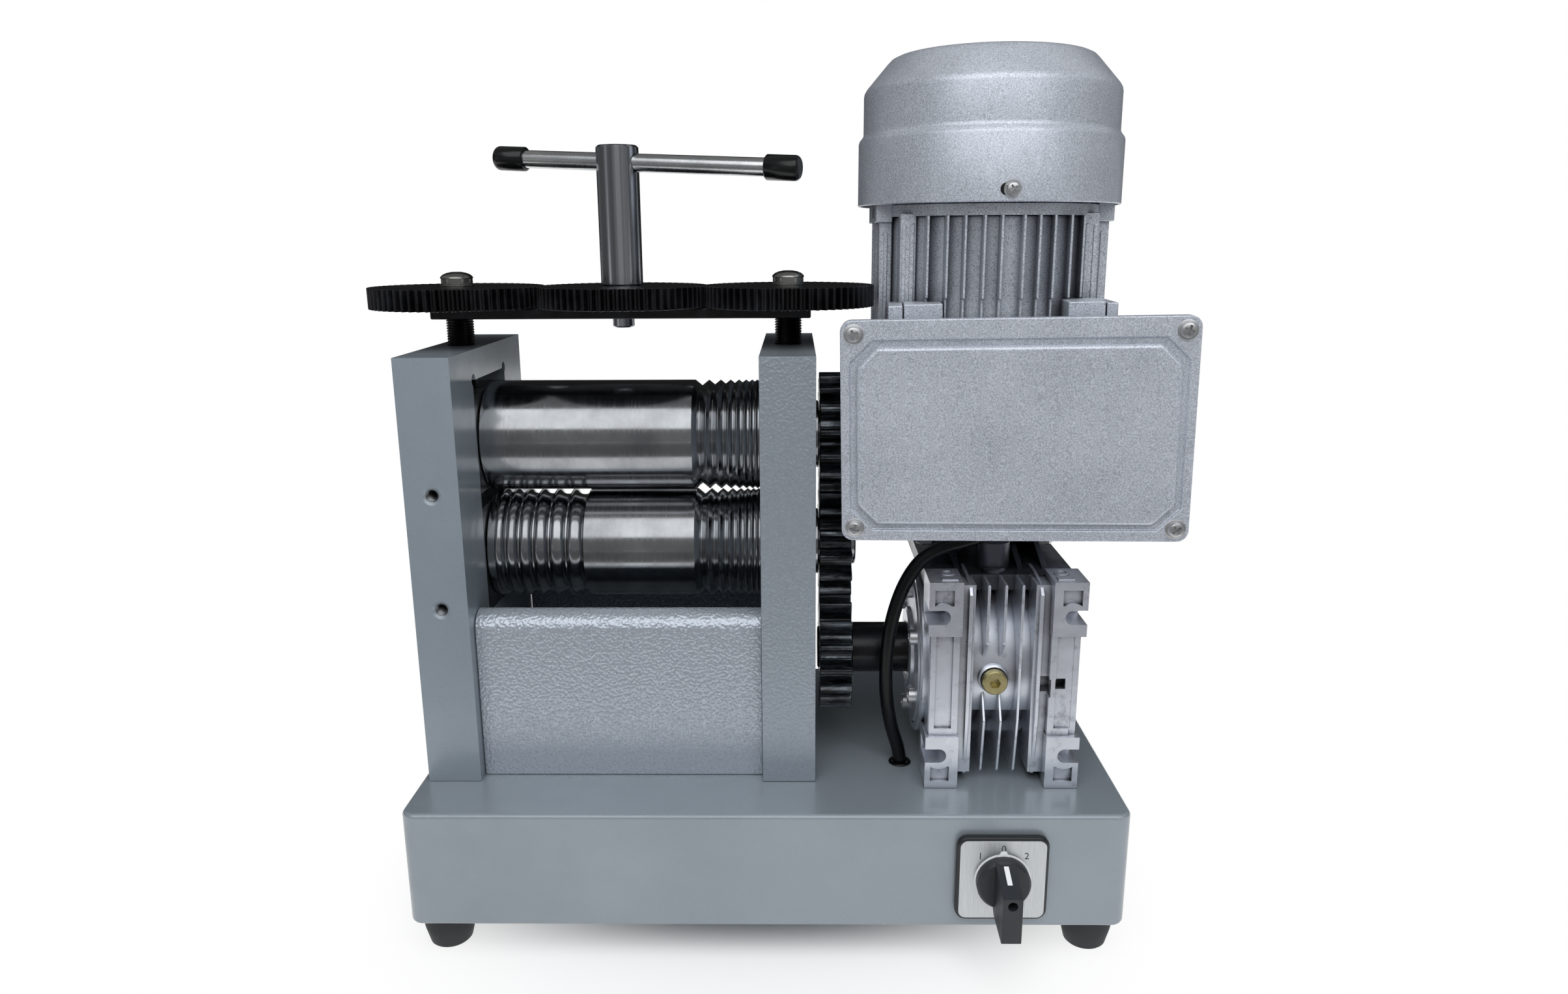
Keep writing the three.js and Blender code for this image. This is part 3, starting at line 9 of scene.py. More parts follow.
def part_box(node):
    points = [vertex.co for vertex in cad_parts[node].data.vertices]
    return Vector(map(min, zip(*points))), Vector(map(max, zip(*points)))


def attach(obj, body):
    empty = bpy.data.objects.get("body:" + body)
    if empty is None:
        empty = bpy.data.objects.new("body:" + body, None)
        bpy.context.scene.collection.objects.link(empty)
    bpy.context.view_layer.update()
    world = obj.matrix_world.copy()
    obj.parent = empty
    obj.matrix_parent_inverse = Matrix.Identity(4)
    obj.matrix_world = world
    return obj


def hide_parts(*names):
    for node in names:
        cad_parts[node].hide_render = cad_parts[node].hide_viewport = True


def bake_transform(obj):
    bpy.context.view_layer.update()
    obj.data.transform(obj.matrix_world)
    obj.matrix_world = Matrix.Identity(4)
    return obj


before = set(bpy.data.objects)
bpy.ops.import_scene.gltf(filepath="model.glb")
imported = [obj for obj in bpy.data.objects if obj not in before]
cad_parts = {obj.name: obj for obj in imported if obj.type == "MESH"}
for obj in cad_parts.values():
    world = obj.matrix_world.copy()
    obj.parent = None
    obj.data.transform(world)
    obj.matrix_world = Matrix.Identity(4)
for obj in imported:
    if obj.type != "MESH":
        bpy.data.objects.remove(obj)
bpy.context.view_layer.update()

# Lengths are in millimetres until a piece is settled. The design origin is the middle of the base's
# front edge on the ground: X along the rolls, Y away from the operator, Z up.
MM = 0.001
base_low, base_high = (Vector(corner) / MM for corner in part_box("base_housing"))
origin = Vector(((base_low.x + base_high.x) / 2, base_low.y, 0))
full_turn = 2 * math.pi
SEGMENTS = 96
FEW_SEGMENTS = 32
past = 1  # how far a cutter reaches past a face
slip = 0.1  # radial play of a gear on its seat

# Base
base_width = 398
base_depth = 204
deck = 88
foot_height = 20
foot_inset = (17, 19)
base_wall = 5
base_corner = 8
base_edge = 3
# Radius and inset of a light rod in the base's top front edge: a painted highlight
edge_highlight_radius = 0.75
edge_highlight_inset = 1.35
deck_thickness = 8

# Frames and bearings
left_x = -179
handle_x = -83
right_x = 13
frame_thickness = 30
frame_depth = 144
frame_front = 37
frame_top = 331
axis_y = 109
window_width = 66
window_floor = 176
window_top = 314
relief_radius = 3.5
guide_drill_radius = 3.4
guide_mouth_radius = 5.2
guide_mouth_depth = 1.4
guide_hole_heights = (191.9, 256.7)
guide_hole_depth = 22
guide_thread_count = 14
guide_thread_pitch = 0.8
guide_thread_start = 1.2
guide_thread_root = 3.38
guide_thread_crest = 2.9
guide_thread_skin = 3.6
seat_gap = 0.3
spring_offset = 27
spring_pocket_radius = 4.55
pocket_reach = 10
spring_radius = 3.3
spring_wire = 0.75
spring_turns = 4
block_reach = 29
bush_outer = 24.3
bush_inner = 20.3

# Rolls
roll_radius = 32.5
lower_z = 211
upper_z = 277.3
journal_radius = 20
roll_left = -163.5
roll_right = -2.5
roll_recess = 1
seat_radius = 14
seat_left = 30.7
seat_right = 53
square_first = 8.1
square_shrink_share = 0.85
square_depth_share = 0.42
square_count = 8
square_land = 0.4
square_blunt = 0.15
square_wear = 0.12
round_first = 6
round_growth = 0.8
round_land = 0.8
round_start = 4.6
round_depth_share = 0.36
round_count = 6

# Adjustment gear train and handle
adjust_module = 1.5
adjust_teeth = 64
adjust_z = 352.8
adjust_top = 364.8
screw_radius = 8
screw_neck_radius = 6.5
screw_low = 306.6
thread_pitch = 1.5
thread_depth = 0.8
strap_z = 346.5
strap_thickness = 6
strap_width = 26
strap_reach = 13
post_radius = 12
post_neck_radius = 9
post_pin_radius = 6.2
post_low = 341
post_top = 442
bar_radius = 5
bar_z = 433
bar_turn = math.radians(-17)
bar_droop = math.radians(3.1)
bar_left = 75.5
bar_right = 105.8
grip_radius = 6.8
grip_length = 19.5
grip_end = 2
grip_round = 3.2

# Drive gears and gearbox
drive_teeth = 16
drive_left = 31
drive_right = 50
output_y = axis_y - math.sqrt(64.4 ** 2 - 62 ** 2)
output_z = 149
gearbox_back = output_y - 20
gearbox_x = 131.5
gearbox_half = 43
gearbox_front = 29.47
gearbox_top = 210
gearbox_mid = 149
motor_y = output_y + 50
flange_z = 229

casting_x = 132.4
rail_setback = 3
rail_inset = 6.5
rail_back = 55
web_setback = 8
pad_width = 18.5
pad_height = 31
slot_radius = 4.1
slot_inset = 7.8
slot_spread = 41
slot_ring = 8
slot_depth = 20
pocket_spread = 11
pocket_width = 10.5
pocket_height = 9
pocket_depth = 2.5
window_mid = 149.5
wing_near = 18.4
wing_far = 20.4
flange_radius = 58
flange_depth = 12
flange_bolt_circle = 50
cover_bolt_circle = 36
cover_face = gearbox_x - 39.5
barrel_radius = 50
fin_x = 131.8
fin_pitch = 9.3
fin_thickness = 1.6
plug_x = 127.8
plug_z = 150
plug_radius = 7
plug_seat = 8.4
plug_face = output_y - 53
shaft_radius = 12.5
collar_radius = 15
cover_radius = 45

# Skirts
skirt_front = 45
skirt_top = 186.6
skirt_bend = 11
skirt_flat = 1
skirt_sheet = 1.5

# Motor and terminal box
motor_low = 239.6
motor_high = 406
motor_radius = 57
groove_radius = 63
fin_radius = 70
fin_step = 358
fin_setback = 2.5
fin_top = 402.5
front_fins = (-41.2, -31.3, -22.1, -12.1, -2.9, 9.1, 17.9, 26.6, 36.8, 45)
corner_blocks = (
    (46.5, 55.5, 12, 45, 2), (47.6, 50.2, 40, 45.7, 8), (52.2, 54.6, 40, 45.6, 8), (54, 59.5, 12, 24, 2),
    (58.6, 66, 12, 27, 0), (61, 63.4, 20, 27.6, 12),
)
corner_lug = (58.6, 68, 12, 29.6, 399.5, 421)
side_fin_count = 6
side_fin_pitch = 8
side_fin_radius = 68
hood_low = 409
hood_step = 446.5
hood_cone = 472.5
hood_high = 491.5
hood_radius = 76.7
hood_inside = 75.1
neck_radius = 73.9
neck_inside = 72.3
vent_count = 8
vent_length = 32
vent_width = 5
vent_corner = 2.4
vent_reach = 34
lid_x = 129.5
lid_y = 20
lid_z = 293.8
lid_turn = math.radians(-5)
lid_tilt = math.radians(-1)
lid_width = 178.5
lid_height = 115.7
lid_thickness = 7
lid_corner = 6
panel_clip = 11.5
panel_rise = 2.4
groove_side = 4.8
groove_top = 10.3
groove_foot = 5.8
groove_width = 3.4
groove_depth = 1.4
box_depth = 35
box_inset = 4
box_wall = 3
box_pads = ((-65, -57, 4.3), (-56.5, -35.5, 5), (31, 50.5, 5), (51, 57, 4.3))
lid_screw_inset = 7
cable_radius = 3.9
cable_foot = (78.5, 61)

# Switch and gland
switch_x = 128.6
switch_z = 52.8
bezel_width = 50
bezel_depth = 5
bezel_corner = 6
plate_width = 46.5
plate_thickness = 0.5
knob_radius = 14.5
knob_depth = 6
lever_width = 10.5
mark_share = 0.36
gland_x = -140
gland_z = 54
gland_nut_radius = 9.2


# Camera at the photograph's place, first
def make_camera():
    place = Vector((17.425, -515.5, 389.75))
    tilt, yaw, roll = (math.radians(angle) for angle in (13.61, -0.68, -0.28))
    focal_share = 1627.74 / 2408
    ahead = Vector((math.sin(yaw) * math.cos(tilt), math.cos(yaw) * math.cos(tilt), -math.sin(tilt)))
    level = ahead.cross(Vector((0, 0, 1))).normalized()
    upright = level.cross(ahead)
    right = level * math.cos(roll) + upright * math.sin(roll)
    up = upright * math.cos(roll) - level * math.sin(roll)
    data = bpy.data.cameras.new("camera")
    data.sensor_fit = "HORIZONTAL"
    data.sensor_width = 36
    data.lens = focal_share * data.sensor_width
    data.clip_start = 0.01
    camera = bpy.data.objects.new("camera", data)
    axes = Matrix((right, up, -ahead)).transposed()
    camera.matrix_world = Matrix.Translation((origin + place) * MM) @ axes.to_4x4()
    bpy.context.scene.collection.objects.link(camera)
    bpy.context.scene.camera = camera


make_camera()


# Solids in design millimetres
def solid(vertices, faces):
    mesh = bpy.data.meshes.new("solid")
    mesh.from_pydata([tuple(vertex) for vertex in vertices], [], faces)
    grid = bmesh.new()
    grid.from_mesh(mesh)
    bmesh.ops.remove_doubles(grid, verts=grid.verts, dist=0.0005)
    bmesh.ops.recalc_face_normals(grid, faces=grid.faces)
    grid.to_mesh(mesh)
    grid.free()
    made = bpy.data.objects.new("solid", mesh)
    bpy.context.scene.collection.objects.link(made)
    return made


def on_axis(axis, a, b, height):
    """Point from two coordinates across an axis and one along it."""
    return {"X": (height, a, b), "Y": (a, height, b), "Z": (a, b, height)}[axis]


def prism(outline, low, high, axis="Z"):
    count = len(outline)
    vertices = [on_axis(axis, a, b, low) for a, b in outline]
    vertices += [on_axis(axis, a, b, high) for a, b in outline]
    faces = [tuple(range(count)), tuple(range(count, 2 * count))]
    faces += [(i, (i + 1) % count, count + (i + 1) % count, count + i) for i in range(count)]
    return solid(vertices, faces)


def slab(x0, x1, y0, y1, z0, z1):
    return prism([(x0, y0), (x1, y0), (x1, y1), (x0, y1)], z0, z1)


def turned(profile, axis, centre, segments=SEGMENTS, closed=False):
    """Solid of revolution from (radius, height) points that start and end on the axis, or close."""
    vertices = []
    rings = []
    for radius, height in profile:
        if radius < 1e-6:
            rings.append([len(vertices)] * segments)
            vertices.append(on_axis(axis, *centre, height))
            continue
        rings.append(list(range(len(vertices), len(vertices) + segments)))
        for i in range(segments):
            angle = i / segments * full_turn
            a = centre[0] + radius * math.cos(angle)
            b = centre[1] + radius * math.sin(angle)
            vertices.append(on_axis(axis, a, b, height))
    faces = []
    pairs = list(zip(rings, rings[1:]))
    if closed:
        pairs.append((rings[-1], rings[0]))
    for first, second in pairs:
        for i in range(segments):
            j = (i + 1) % segments
            loop = []
            for corner in (first[i], first[j], second[j], second[i]):
                if corner not in loop:
                    loop.append(corner)
            if len(loop) > 2:
                faces.append(tuple(loop))
    return solid(vertices, faces)


def circle(centre, radius, count, phase=0.5):
    """Points spread evenly on a circle, the first one at phase steps."""
    angles = [(i + phase) / count * full_turn for i in range(count)]
    return [(centre[0] + radius * math.cos(angle), centre[1] + radius * math.sin(angle)) for angle in angles]


def raised(base, profile):
    """The profile with its heights counted from base."""
    return [(radius, base + height) for radius, height in profile]


def rod(radius, axis, centre, low, high, segments=FEW_SEGMENTS):
    return turned([(0, low), (radius, low), (radius, high), (0, high)], axis, centre, segments)


def rounded(width, height, radius, steps, centre=(0, 0)):
    """Outline of a rectangle with round corners, or clipped ones with a single step."""
    points = []
    for corner, (sign_a, sign_b) in enumerate(((1, 1), (-1, 1), (-1, -1), (1, -1))):
        for i in range(steps + 1):
            angle = (corner + i / steps) * math.pi / 2
            a = centre[0] + sign_a * (width / 2 - radius) + radius * math.cos(angle)
            b = centre[1] + sign_b * (height / 2 - radius) + radius * math.sin(angle)
            points.append((a, b))
    return points


def applied(made):
    """The object with its modifiers applied to its mesh."""
    graph = bpy.context.evaluated_depsgraph_get()
    mesh = bpy.data.meshes.new_from_object(made.evaluated_get(graph))
    made.modifiers.clear()
    old = made.data
    made.data = mesh
    bpy.data.meshes.remove(old)
    return made


def combine(body, tools, operation):
    for tool in tools:
        change = body.modifiers.new("combine", "BOOLEAN")
        change.operation = operation
        change.solver = "EXACT"
        change.object = tool
    applied(body)
    for tool in tools:
        bpy.data.objects.remove(tool)
    return body


def cut(body, *tools):
    return combine(body, tools, "DIFFERENCE")


def fuse(body, *tools):
    return combine(body, tools, "UNION")


def gather(first, *others):
    """Several solids as islands of one mesh."""
    grid = bmesh.new()
    for part in (first, *others):
        part.data.transform(part.matrix_basis)
        part.matrix_basis = Matrix.Identity(4)
        grid.from_mesh(part.data)
    grid.to_mesh(first.data)
    grid.free()
    for part in others:
        bpy.data.objects.remove(part)
    return first


def moved(part, matrix):
    part.data.transform(matrix)
    return part


def spin(part, angle, axis):
    return moved(part, Matrix.Rotation(angle, 4, axis))


def shifted(part, *place):
    return moved(part, Matrix.Translation(place))


def tube(points, radius, sides):
    """Round tube with closed ends along points, its section carried along without twist."""
    points = [Vector(point) for point in points]
    last = len(points) - 1
    steps = [(points[min(i + 1, last)] - points[max(i - 1, 0)]).normalized() for i in range(last + 1)]
    side = steps[0].orthogonal().normalized()
    vertices = []
    for point, step in zip(points, steps):
        side = (side - step * side.dot(step)).normalized()
        other = step.cross(side)
        for k in range(sides):
            angle = k / sides * full_turn
            vertices.append(point + radius * (side * math.cos(angle) + other * math.sin(angle)))
    faces = []
    for i in range(last):
        for k in range(sides):
            n = (k + 1) % sides
            faces.append((i * sides + k, i * sides + n, (i + 1) * sides + n, (i + 1) * sides + k))
    faces.append(tuple(range(sides)))
    faces.append(tuple(range(last * sides, (last + 1) * sides)))
    return solid(vertices, faces)


def smooth_route(points):
    """Points on a smooth curve through the given ones."""
    steps = 8
    points = [Vector(point) for point in points]
    padded = [2 * points[0] - points[1], *points, 2 * points[-1] - points[-2]]
    route = []
    for i in range(1, len(padded) - 2):
        before, start, end, after = padded[i - 1:i + 3]
        for k in range(steps):
            t = k / steps
            route.append(0.5 * (
                2 * start + (end - before) * t + (2 * before - 5 * start + 4 * end - after) * t ** 2
                + (3 * start - before - 3 * end + after) * t ** 3
            ))
    return [*route, points[-1]]


def settle(part, name, body, material, slot, *nodes, bevel=0, segments=2, angle=32):
    """Names a piece, moves it to its place in metres, and hands it to its body."""
    part.name = name
    part.data.name = name
    part.data.transform(Matrix.Scale(MM, 4) @ Matrix.Translation(origin))
    part.data.materials.clear()
    part.data.materials.append(material)
    part.data.shade_smooth()
    part.data.set_sharp_from_angle(angle=math.radians(angle))
    if bevel:
        rounding = part.modifiers.new("bevel", "BEVEL")
        rounding.width = bevel * MM
        rounding.segments = segments
        rounding.limit_method = "ANGLE"
        rounding.angle_limit = math.radians(angle)
        rounding.harden_normals = True
        rounding.use_clamp_overlap = True
    if body:
        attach(part, body)
    if nodes:
        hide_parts(*nodes)
    return part


# Materials
def linear(code):
    """Linear colour from a hex code."""
    values = [int(code[i:i + 2], 16) / 255 for i in (0, 2, 4)]
    return [v / 12.92 if v <= 0.04045 else ((v + 0.055) / 1.055) ** 2.4 for v in values]


class Finish:
    """One procedural material and its node graph."""

    def __init__(self, name, code, metallic, roughness):
        self.material = bpy.data.materials.new(name)
        self.material.use_nodes = True
        self.tree = self.material.node_tree
        self.shader = self.tree.nodes["Principled BSDF"]
        self.set(self.shader, "Base Color", (*linear(code), 1))
        self.set(self.shader, "Metallic", metallic)
        self.set(self.shader, "Roughness", roughness)
        self.place = self.tree.nodes.new("ShaderNodeTexCoord").outputs["Object"]

    def set(self, node, socket, value):
        if isinstance(value, bpy.types.NodeSocket):
            self.tree.links.new(value, node.inputs[socket])
        else:
            node.inputs[socket].default_value = value

    def node(self, kind, values, **settings):
        made = self.tree.nodes.new(kind)
        for key, value in settings.items():
            setattr(made, key, value)
        for socket, value in values.items():
            self.set(made, socket, value)
        return made

    def stretched(self, x, y, z):
        return self.node("ShaderNodeMapping", {"Vector": self.place, "Scale": (x, y, z)}).outputs["Vector"]

    def noise(self, scale, detail=2, vector=None, roughness=0.5):
        values = {"Vector": vector or self.place, "Scale": scale, "Detail": detail, "Roughness": roughness}
        return self.node("ShaderNodeTexNoise", values).outputs["Fac"]

    def cells(self, scale):
        values = {"Vector": self.place, "Scale": scale}
        return self.node("ShaderNodeTexVoronoi", values, feature="SMOOTH_F1").outputs["Distance"]

    def between(self, value, low, high, to_low=0.0, to_high=1.0):
        values = {"Value": value, "From Min": low, "From Max": high, "To Min": to_low, "To Max": to_high}
        return self.node("ShaderNodeMapRange", values).outputs["Result"]

    def combine(self, operation, first, second):
        return self.node("ShaderNodeMath", {0: first, 1: second}, operation=operation).outputs[0]

    def blend(self, factor, first, second):
        """Colours are hex codes or sockets."""
        made = self.tree.nodes.new("ShaderNodeMix")
        made.data_type = "RGBA"
        self.set(made, "Factor", factor)
        colours = [socket for socket in made.inputs if socket.type == "RGBA"]
        for socket, value in zip(colours, (first, second)):
            if isinstance(value, str):
                socket.default_value = (*linear(value), 1)
            else:
                self.tree.links.new(value, socket)
        return next(socket for socket in made.outputs if socket.type == "RGBA")

    def openness(self, reach, low, high):
        """Mask for painted shade: one in the open, falling to zero deep in a recess."""
        made = self.node("ShaderNodeAmbientOcclusion", {"Distance": reach * MM}, samples=8)
        return self.between(made.outputs["AO"], low, high)

    def colour(self, socket):
        self.set(self.shader, "Base Color", socket)

    def rough(self, socket):
        self.set(self.shader, "Roughness", socket)

    def coat(self, weight, roughness):
        self.set(self.shader, "Coat Weight", weight)
        self.set(self.shader, "Coat Roughness", roughness)

    def bump(self, height, depth, strength=1.0, after=None):
        values = {"Height": height, "Distance": depth * MM, "Strength": strength}
        if after is not None:
            values["Normal"] = after
        made = self.node("ShaderNodeBump", values)
        self.set(self.shader, "Normal", made.outputs["Normal"])
        return made.outputs["Normal"]


def metallic_paint(name, dark, light, roughness, grain, recess=None):
    """Flaky paint; the recess colour is painted shade, mixed in deep between fins."""
    finish = Finish(name, light, 0.55, roughness)
    flakes = finish.noise(1400, 2, roughness=0.7)
    patches = finish.noise(28, 3)
    fine = finish.between(flakes, 0.35, 0.65, 0, 0.8)
    coarse = finish.between(patches, 0.3, 0.7, 0, 0.2)
    colour = finish.blend(finish.combine("ADD", fine, coarse), dark, light)
    # Deep between fins the colour falls to the recess colour: painted shade.
    finish.colour(finish.blend(finish.openness(11, 0.12, 0.8), recess, colour) if recess else colour)
    finish.rough(finish.between(flakes, 0.3, 0.7, roughness - 0.08, roughness + 0.12))
    finish.bump(flakes, grain, 0.8, finish.bump(finish.noise(260, 2), grain * 2, 0.35))
    finish.coat(0.1, 0.3)
    return finish.material


def smooth_paint(name, dark, light, roughness):
    finish = Finish(name, light, 0.3, roughness)
    flakes = finish.noise(2200, 2)
    broad = finish.noise(9, 3)
    fine = finish.between(flakes, 0.3, 0.7, 0, 0.5)
    coarse = finish.between(broad, 0.3, 0.7, 0, 0.5)
    finish.colour(finish.blend(finish.combine("ADD", fine, coarse), dark, light))
    finish.rough(finish.between(finish.noise(60, 4), 0.35, 0.65, roughness - 0.05, roughness + 0.06))
    finish.bump(flakes, 0.02, 0.5, finish.bump(finish.noise(180, 2), 0.05, 0.4))
    finish.coat(0.6, 0.14)
    return finish.material


def hammered_paint(name, dark, light, roughness, scale, depth):
    """Paint whose hammer marks show in its surface and hardly in its colour."""
    finish = Finish(name, light, 0.6, roughness)
    warp = finish.noise(scale * 0.6, 2)
    pits = finish.between(finish.cells(scale), 0.0, 0.6)
    marks = finish.combine("MULTIPLY", pits, pits)
    height = finish.combine("ADD", marks, finish.combine("MULTIPLY", warp, 0.9))
    finish.colour(finish.blend(finish.noise(900, 3), dark, light))
    finish.rough(finish.between(warp, 0.3, 0.7, roughness - 0.03, roughness + 0.05))
    finish.bump(height, depth, 1.0, finish.bump(finish.noise(1600, 2), 0.02, 0.5))
    finish.coat(0.2, 0.2)
    return finish.material


def turned_steel(name, code, dark, roughness, stretch, scale=900):
    """Bright steel whose fine marks run round the axis that has the large stretch value."""
    finish = Finish(name, code, 1.0, roughness)
    lines = finish.noise(1, 3, finish.stretched(*(scale * share for share in stretch)), 0.6)
    blotches = finish.noise(45, 4)
    finish.colour(finish.blend(finish.between(blotches, 0.35, 0.75), code, dark))
    fine = finish.between(lines, 0.3, 0.7, 0, 0.6)
    coarse = finish.between(blotches, 0.3, 0.7, 0, 0.4)
    marks = finish.combine("ADD", fine, coarse)
    finish.rough(finish.between(marks, 0, 1, roughness - 0.04, roughness + 0.12))
    finish.bump(lines, 0.006, 0.8)
    return finish.material


def reflection_banded_steel(name, dark, light, roughness):
    """Drawn steel with fine lines along Z, and light and dark bands along Z that are painted reflection."""
    finish = Finish(name, light, 1.0, roughness)
    painted_reflection_bands = finish.noise(1, 2, finish.stretched(210, 210, 0.5), 0.5)
    lines = finish.noise(1, 3, finish.stretched(1600, 1600, 8), 0.6)
    # The colour bands from dark to light are painted reflection.
    finish.colour(finish.blend(finish.between(painted_reflection_bands, 0.38, 0.62), dark, light))
    finish.rough(finish.between(lines, 0.3, 0.7, roughness - 0.04, roughness + 0.08))
    finish.bump(lines, 0.006, 0.8)
    return finish.material


def black_iron(name):
    finish = Finish(name, "101014", 0.6, 0.3)
    smears = finish.noise(55, 5, roughness=0.65)
    grit = finish.noise(700, 3)
    finish.colour(finish.blend(finish.between(smears, 0.45, 0.8), "0b0b0f", "2c2d33"))
    finish.rough(finish.between(smears, 0.3, 0.7, 0.2, 0.5))
    finish.bump(grit, 0.05, 0.7, finish.bump(smears, 0.25, 0.5))
    finish.coat(0.3, 0.2)
    return finish.material


def oily_sheen_iron(name):
    """Dark oily gear steel with light, glossier streaks along the teeth; their light colour is painted
    highlight.
    """
    finish = Finish(name, "15171b", 0.8, 0.3)
    sheen_streaks = finish.noise(1, 4, finish.stretched(45, 190, 190), 0.65)
    grit = finish.noise(700, 3)
    # The light colour in the streaks is painted highlight on the teeth.
    finish.colour(finish.blend(finish.between(sheen_streaks, 0.42, 0.66), "0d0e12", "5c646c"))
    finish.rough(finish.between(sheen_streaks, 0.35, 0.65, 0.42, 0.16))
    finish.bump(sheen_streaks, 0.5, 0.7, finish.bump(grit, 0.05, 0.7))
    finish.coat(0.6, 0.12)
    return finish.material


def bare_casting(name, dark, light):
    """Cast skin, stained in patches, with painted shade darkening it to near black where it is deep."""
    finish = Finish(name, light, 0.85, 0.32)
    skin = finish.noise(420, 4, roughness=0.6)
    flow = finish.noise(38, 4, roughness=0.6)
    stains = finish.between(finish.noise(75, 5, roughness=0.7), 0.56, 0.8)
    # Near black 0c0e11 deep in recesses is painted shade.
    finish.colour(finish.blend(finish.openness(7, 0.2, 0.72), "0c0e11", finish.blend(stains, light, dark)))
    finish.rough(finish.between(flow, 0.3, 0.7, 0.24, 0.42))
    finish.bump(skin, 0.05, 0.6, finish.bump(flow, 0.6, 0.6))
    return finish.material


def moulded(name, code, roughness, grain=0.03, coat=0.0, shine=0.5):
    finish = Finish(name, code, 0.0, roughness)
    grit = finish.noise(1500, 2)
    haze = finish.noise(40, 4)
    finish.rough(finish.between(haze, 0.3, 0.7, roughness - 0.06, roughness + 0.1))
    finish.bump(grit, grain, 0.6)
    finish.set(finish.shader, "Specular IOR Level", shine)
    finish.coat(coat, 0.2)
    return finish.material


def warm_metal(name, code, dark, roughness):
    finish = Finish(name, code, 1.0, roughness)
    tarnish = finish.noise(90, 5, roughness=0.65)
    finish.colour(finish.blend(finish.between(tarnish, 0.4, 0.75), code, dark))
    finish.rough(finish.between(tarnish, 0.3, 0.7, roughness - 0.05, roughness + 0.18))
    finish.bump(finish.noise(600, 3), 0.02, 0.6)
    return finish.material


def brushed_plate(name):
    finish = Finish(name, "c4c8cb", 0.85, 0.32)
    strokes = finish.noise(1, 3, finish.stretched(3200, 3200, 60), 0.6)
    finish.colour(finish.blend(finish.between(strokes, 0.3, 0.7), "b7bbbe", "d6d9db"))
    finish.rough(finish.between(strokes, 0.3, 0.7, 0.26, 0.42))
    finish.bump(strokes, 0.01, 0.6)
    return finish.material


motor_paint = metallic_paint("motor_paint", "9fa5ae", "e2e7f2", 0.36, 0.06)
# Its last colour, 565b64, is painted shade deep between the fins.
fin_paint = metallic_paint("fin_paint", "a8aeb7", "eaeef7", 0.32, 0.04, "565b64")
base_paint = smooth_paint("base_paint", "7f888f", "919aa2", 0.36)
# Light paint for the rod in the base's front edge: a painted highlight
painted_edge_highlight = smooth_paint("painted_edge_highlight", "d5dce2", "eef3f7", 0.25)
frame_paint = smooth_paint("frame_paint", "7c868e", "8d97a0", 0.4)
right_frame_paint = hammered_paint("right_frame_paint", "929ba4", "a6afb9", 0.38, 700, 0.16)
skirt_paint = hammered_paint("skirt_paint", "a2aab3", "bfc7d2", 0.27, 640, 0.24)
roll_steel = turned_steel("roll_steel", "b0b3b6", "8f9195", 0.13, (1, 0.02, 0.02))
# The post's light and dark bands are painted reflection.
post_steel = reflection_banded_steel("post_steel", "5e6166", "d2d5db", 0.16)
bar_steel = turned_steel("bar_steel", "dadbdc", "b5b7ba", 0.2, (0.02, 1, 1), 1400)
cap_steel = turned_steel("cap_steel", "b9b8b4", "8b8a86", 0.2, (0.4, 0.4, 1))
ground_steel = turned_steel("ground_steel", "9a9c9f", "6b6d70", 0.32, (0.2, 1, 1), 700)
screw_zinc = turned_steel("screw_zinc", "e2e3e4", "bfc1c3", 0.34, (0.5, 0.5, 0.5), 500)
black_steel = black_iron("black_steel")
# Its light streaks along the teeth are painted highlights.
oily_sheen_steel = oily_sheen_iron("oily_sheen_steel")
casting = bare_casting("casting", "767981", "dde1ea")
# A darker copy of the casting for the crown: painted shadow of the lid.
lid_shadow_casting = bare_casting("lid_shadow_casting", "2c2f33", "63676e")
brass = warm_metal("brass", "d3c898", "a59a68", 0.26)
bronze = warm_metal("bronze", "a8824a", "6d5430", 0.34)
copper = warm_metal("copper", "a0623c", "6d3f26", 0.4)
black_plastic = moulded("black_plastic", "1b1d20", 0.38)
knob_plastic = moulded("knob_plastic", "25282c", 0.42, 0.05)
grip_vinyl = moulded("grip_vinyl", "060709", 0.2, 0.01, 0.2, 0.4)
cable_vinyl = moulded("cable_vinyl", "040507", 0.28, 0.01, 0.0, 0.3)
rubber = moulded("rubber", "202326", 0.62, 0.08)
white_ink = moulded("white_ink", "e6e8ea", 0.5)
dark_ink = moulded("dark_ink", "34373a", 0.5)
hole_shadow = moulded("hole_shadow", "060607", 0.7)
plate_metal = brushed_plate("plate_metal")


# Base
def make_base():
    middle = (0, base_depth / 2)
    shell = prism(rounded(base_width, base_depth, base_corner, 10, middle), foot_height, deck)
    width, depth = base_width - 2 * base_wall, base_depth - 2 * base_wall
    inner = rounded(width, depth, base_corner - base_wall, 4, middle)
    hollow = prism(inner, foot_height - base_wall, deck - deck_thickness)
    settle(cut(shell, hollow), "base_shell", "stand", base_paint, "base_paint", "base_housing",
           bevel=base_edge, segments=5)
    # A light rod in the front top bevel: painted highlight of the lamps on that edge.
    reach = base_width / 2 - base_corner
    line = rod(edge_highlight_radius, "X", (edge_highlight_inset, deck - edge_highlight_inset), -reach, reach, 24)
    settle(line, "base_edge_highlight", "stand", painted_edge_highlight, "base_paint")


def make_foot(node, x, y):
    profile = [
        (0, 6), (4, 6), (4, 0.8), (5, 0), (10.9, 0), (11.7, 0.8), (13.9, 9.5), (14.4, 12), (14.9, 18.4),
        (14.2, 19.7), (0, 19.7),
    ]
    foot = turned(profile, "Z", (x, y), 48)
    return settle(foot, node + "_rubber", "stand", rubber, "rubber", node)


